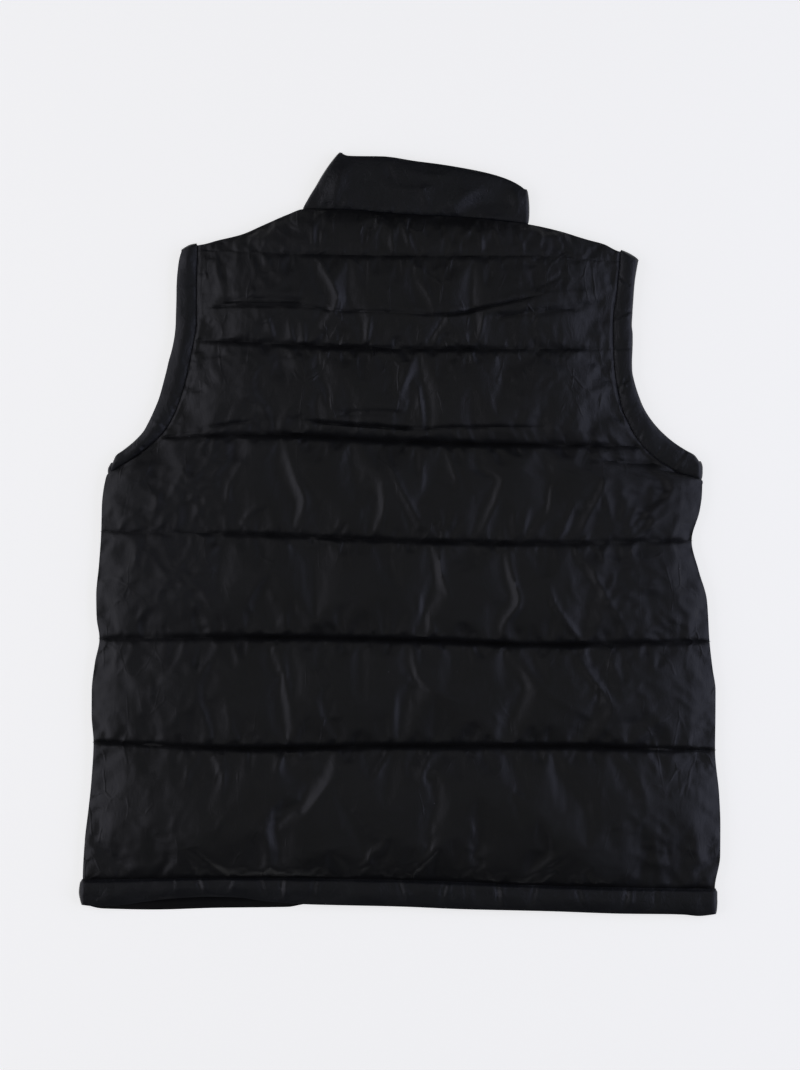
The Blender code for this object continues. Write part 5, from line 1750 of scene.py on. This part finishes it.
class VEST_OT_stitches(bpy.types.Operator):
    """Sew the quilting, binding, hem and collar seams"""

    bl_idname = "vest.stitches"
    bl_label = "Stitches"

    def execute(self, context):
        scene = context.scene
        trim = scene.vest_trim
        tree = stitch_tree(thread_finish(scene.vest_colours))
        for word, slot in (("back", "shell"), ("front", "shell"), ("binding", "binding"),
                           ("hem", "binding"), ("collar", "shell")):
            thing = along_lines(f"{word}_stitches", SEAM_LINES[word], tree, {
                "Pitch": trim.stitch_pitch, "Length": trim.stitch_length, "Thread": trim.thread,
                "Seed": trim.seed})
            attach(thing, BODY)
        return {"FINISHED"}


class VEST_OT_stage(bpy.types.Operator):
    """Lay the floor and set the lights and the camera"""

    bl_idname = "vest.stage"
    bl_label = "Stage"

    def execute(self, context):
        scene = context.scene
        floor_mesh = bpy.data.meshes.new("floor")
        far = FLOOR_HALF
        corners = [(-far, -far, 0.0), (far, -far, 0.0), (far, far, 0.0), (-far, far, 0.0)]
        floor_mesh.from_pydata(corners, [], [(0, 1, 2, 3)])
        floor = bpy.data.objects.new("floor", floor_mesh)
        scene.collection.objects.link(floor)
        material, tree, shader = new_material("pale floor", scene.vest_colours.floor, 0.9)
        connect(tree, shader, [
            ("Emission Color", (1.0, 1.0, 1.0, 1.0)), ("Emission Strength", FLOOR_GLOW)])
        floor_mesh.materials.append(material)
        for name, place, tilt, size, radiance, colour in LIGHTS:
            lamp = bpy.data.lights.new(name, "AREA")
            lamp.shape = "RECTANGLE"
            lamp.size, lamp.size_y = size
            lamp.energy = radiance * math.pi * size[0] * size[1]
            lamp.color = colour
            thing = bpy.data.objects.new(name, lamp)
            thing.location = place
            thing.rotation_euler = (0.0, math.radians(tilt), 0.0)
            scene.collection.objects.link(thing)
        world = bpy.data.worlds.new("room")
        scene.world = world
        world.use_nodes = True
        tree = world.node_tree
        dim = connect(tree, tree.nodes["Background"], [
            ("Color", ROOM_COLOUR), ("Strength", ROOM_LIGHT)])
        pale = add(tree, "ShaderNodeBackground", [("Color", BACKDROP_COLOUR), ("Strength", 1.0)])
        seen = add(tree, "ShaderNodeLightPath").outputs["Is Camera Ray"]
        mixed = add(tree, "ShaderNodeMixShader", enumerate((seen, dim, pale)))
        connect(tree, tree.nodes["World Output"], [("Surface", mixed)])
        camera = bpy.data.cameras.new("camera")
        camera.sensor_width = SENSOR
        camera.lens = SENSOR / 2 / (FRAMED_HALF / FRAMED_AT)
        eye = bpy.data.objects.new("camera", camera)
        eye.location = (0.0, 0.0, EYE_HEIGHT)
        scene.collection.objects.link(eye)
        scene.camera = eye
        scene.view_settings.view_transform = "Standard"
        return {"FINISHED"}


OPERATORS = (VEST_OT_back, VEST_OT_fronts, VEST_OT_bindings, VEST_OT_hem, VEST_OT_collar, VEST_OT_zip,
             VEST_OT_stitches, VEST_OT_stage)
SETTINGS = (("vest_quilt", VestQuilt), ("vest_trim", VestTrim), ("vest_colours", VestColours))


class VEST_PT_panel(bpy.types.Panel):
    """Sizes, colours and pieces of the vest"""

    bl_label = "Puffer vest"
    bl_idname = "VEST_PT_panel"
    bl_space_type = "VIEW_3D"
    bl_region_type = "UI"
    bl_category = "Vest"

    def draw(self, context):
        layout = self.layout
        for label, kind in SETTINGS:
            group = getattr(context.scene, label)
            box = layout.box()
            for key in kind.__annotations__:
                box.prop(group, key)
        for operator in OPERATORS:
            layout.operator(operator.bl_idname)


def register():
    for label, kind in SETTINGS:
        bpy.utils.register_class(kind)
        setattr(bpy.types.Scene, label, PointerProperty(type=kind))
    for kind in (*OPERATORS, VEST_PT_panel):
        bpy.utils.register_class(kind)


def unregister():
    for kind in (VEST_PT_panel, *reversed(OPERATORS)):
        bpy.utils.unregister_class(kind)
    for label, kind in reversed(SETTINGS):
        delattr(bpy.types.Scene, label)
        bpy.utils.unregister_class(kind)


def main():
    register()
    bpy.ops.vest.back()
    bpy.ops.vest.fronts()
    bpy.ops.vest.bindings()
    bpy.ops.vest.hem()
    bpy.ops.vest.collar()
    bpy.ops.vest.zip()
    bpy.ops.vest.stitches()
    bpy.ops.vest.stage()


if __name__ == "__main__":
    main()
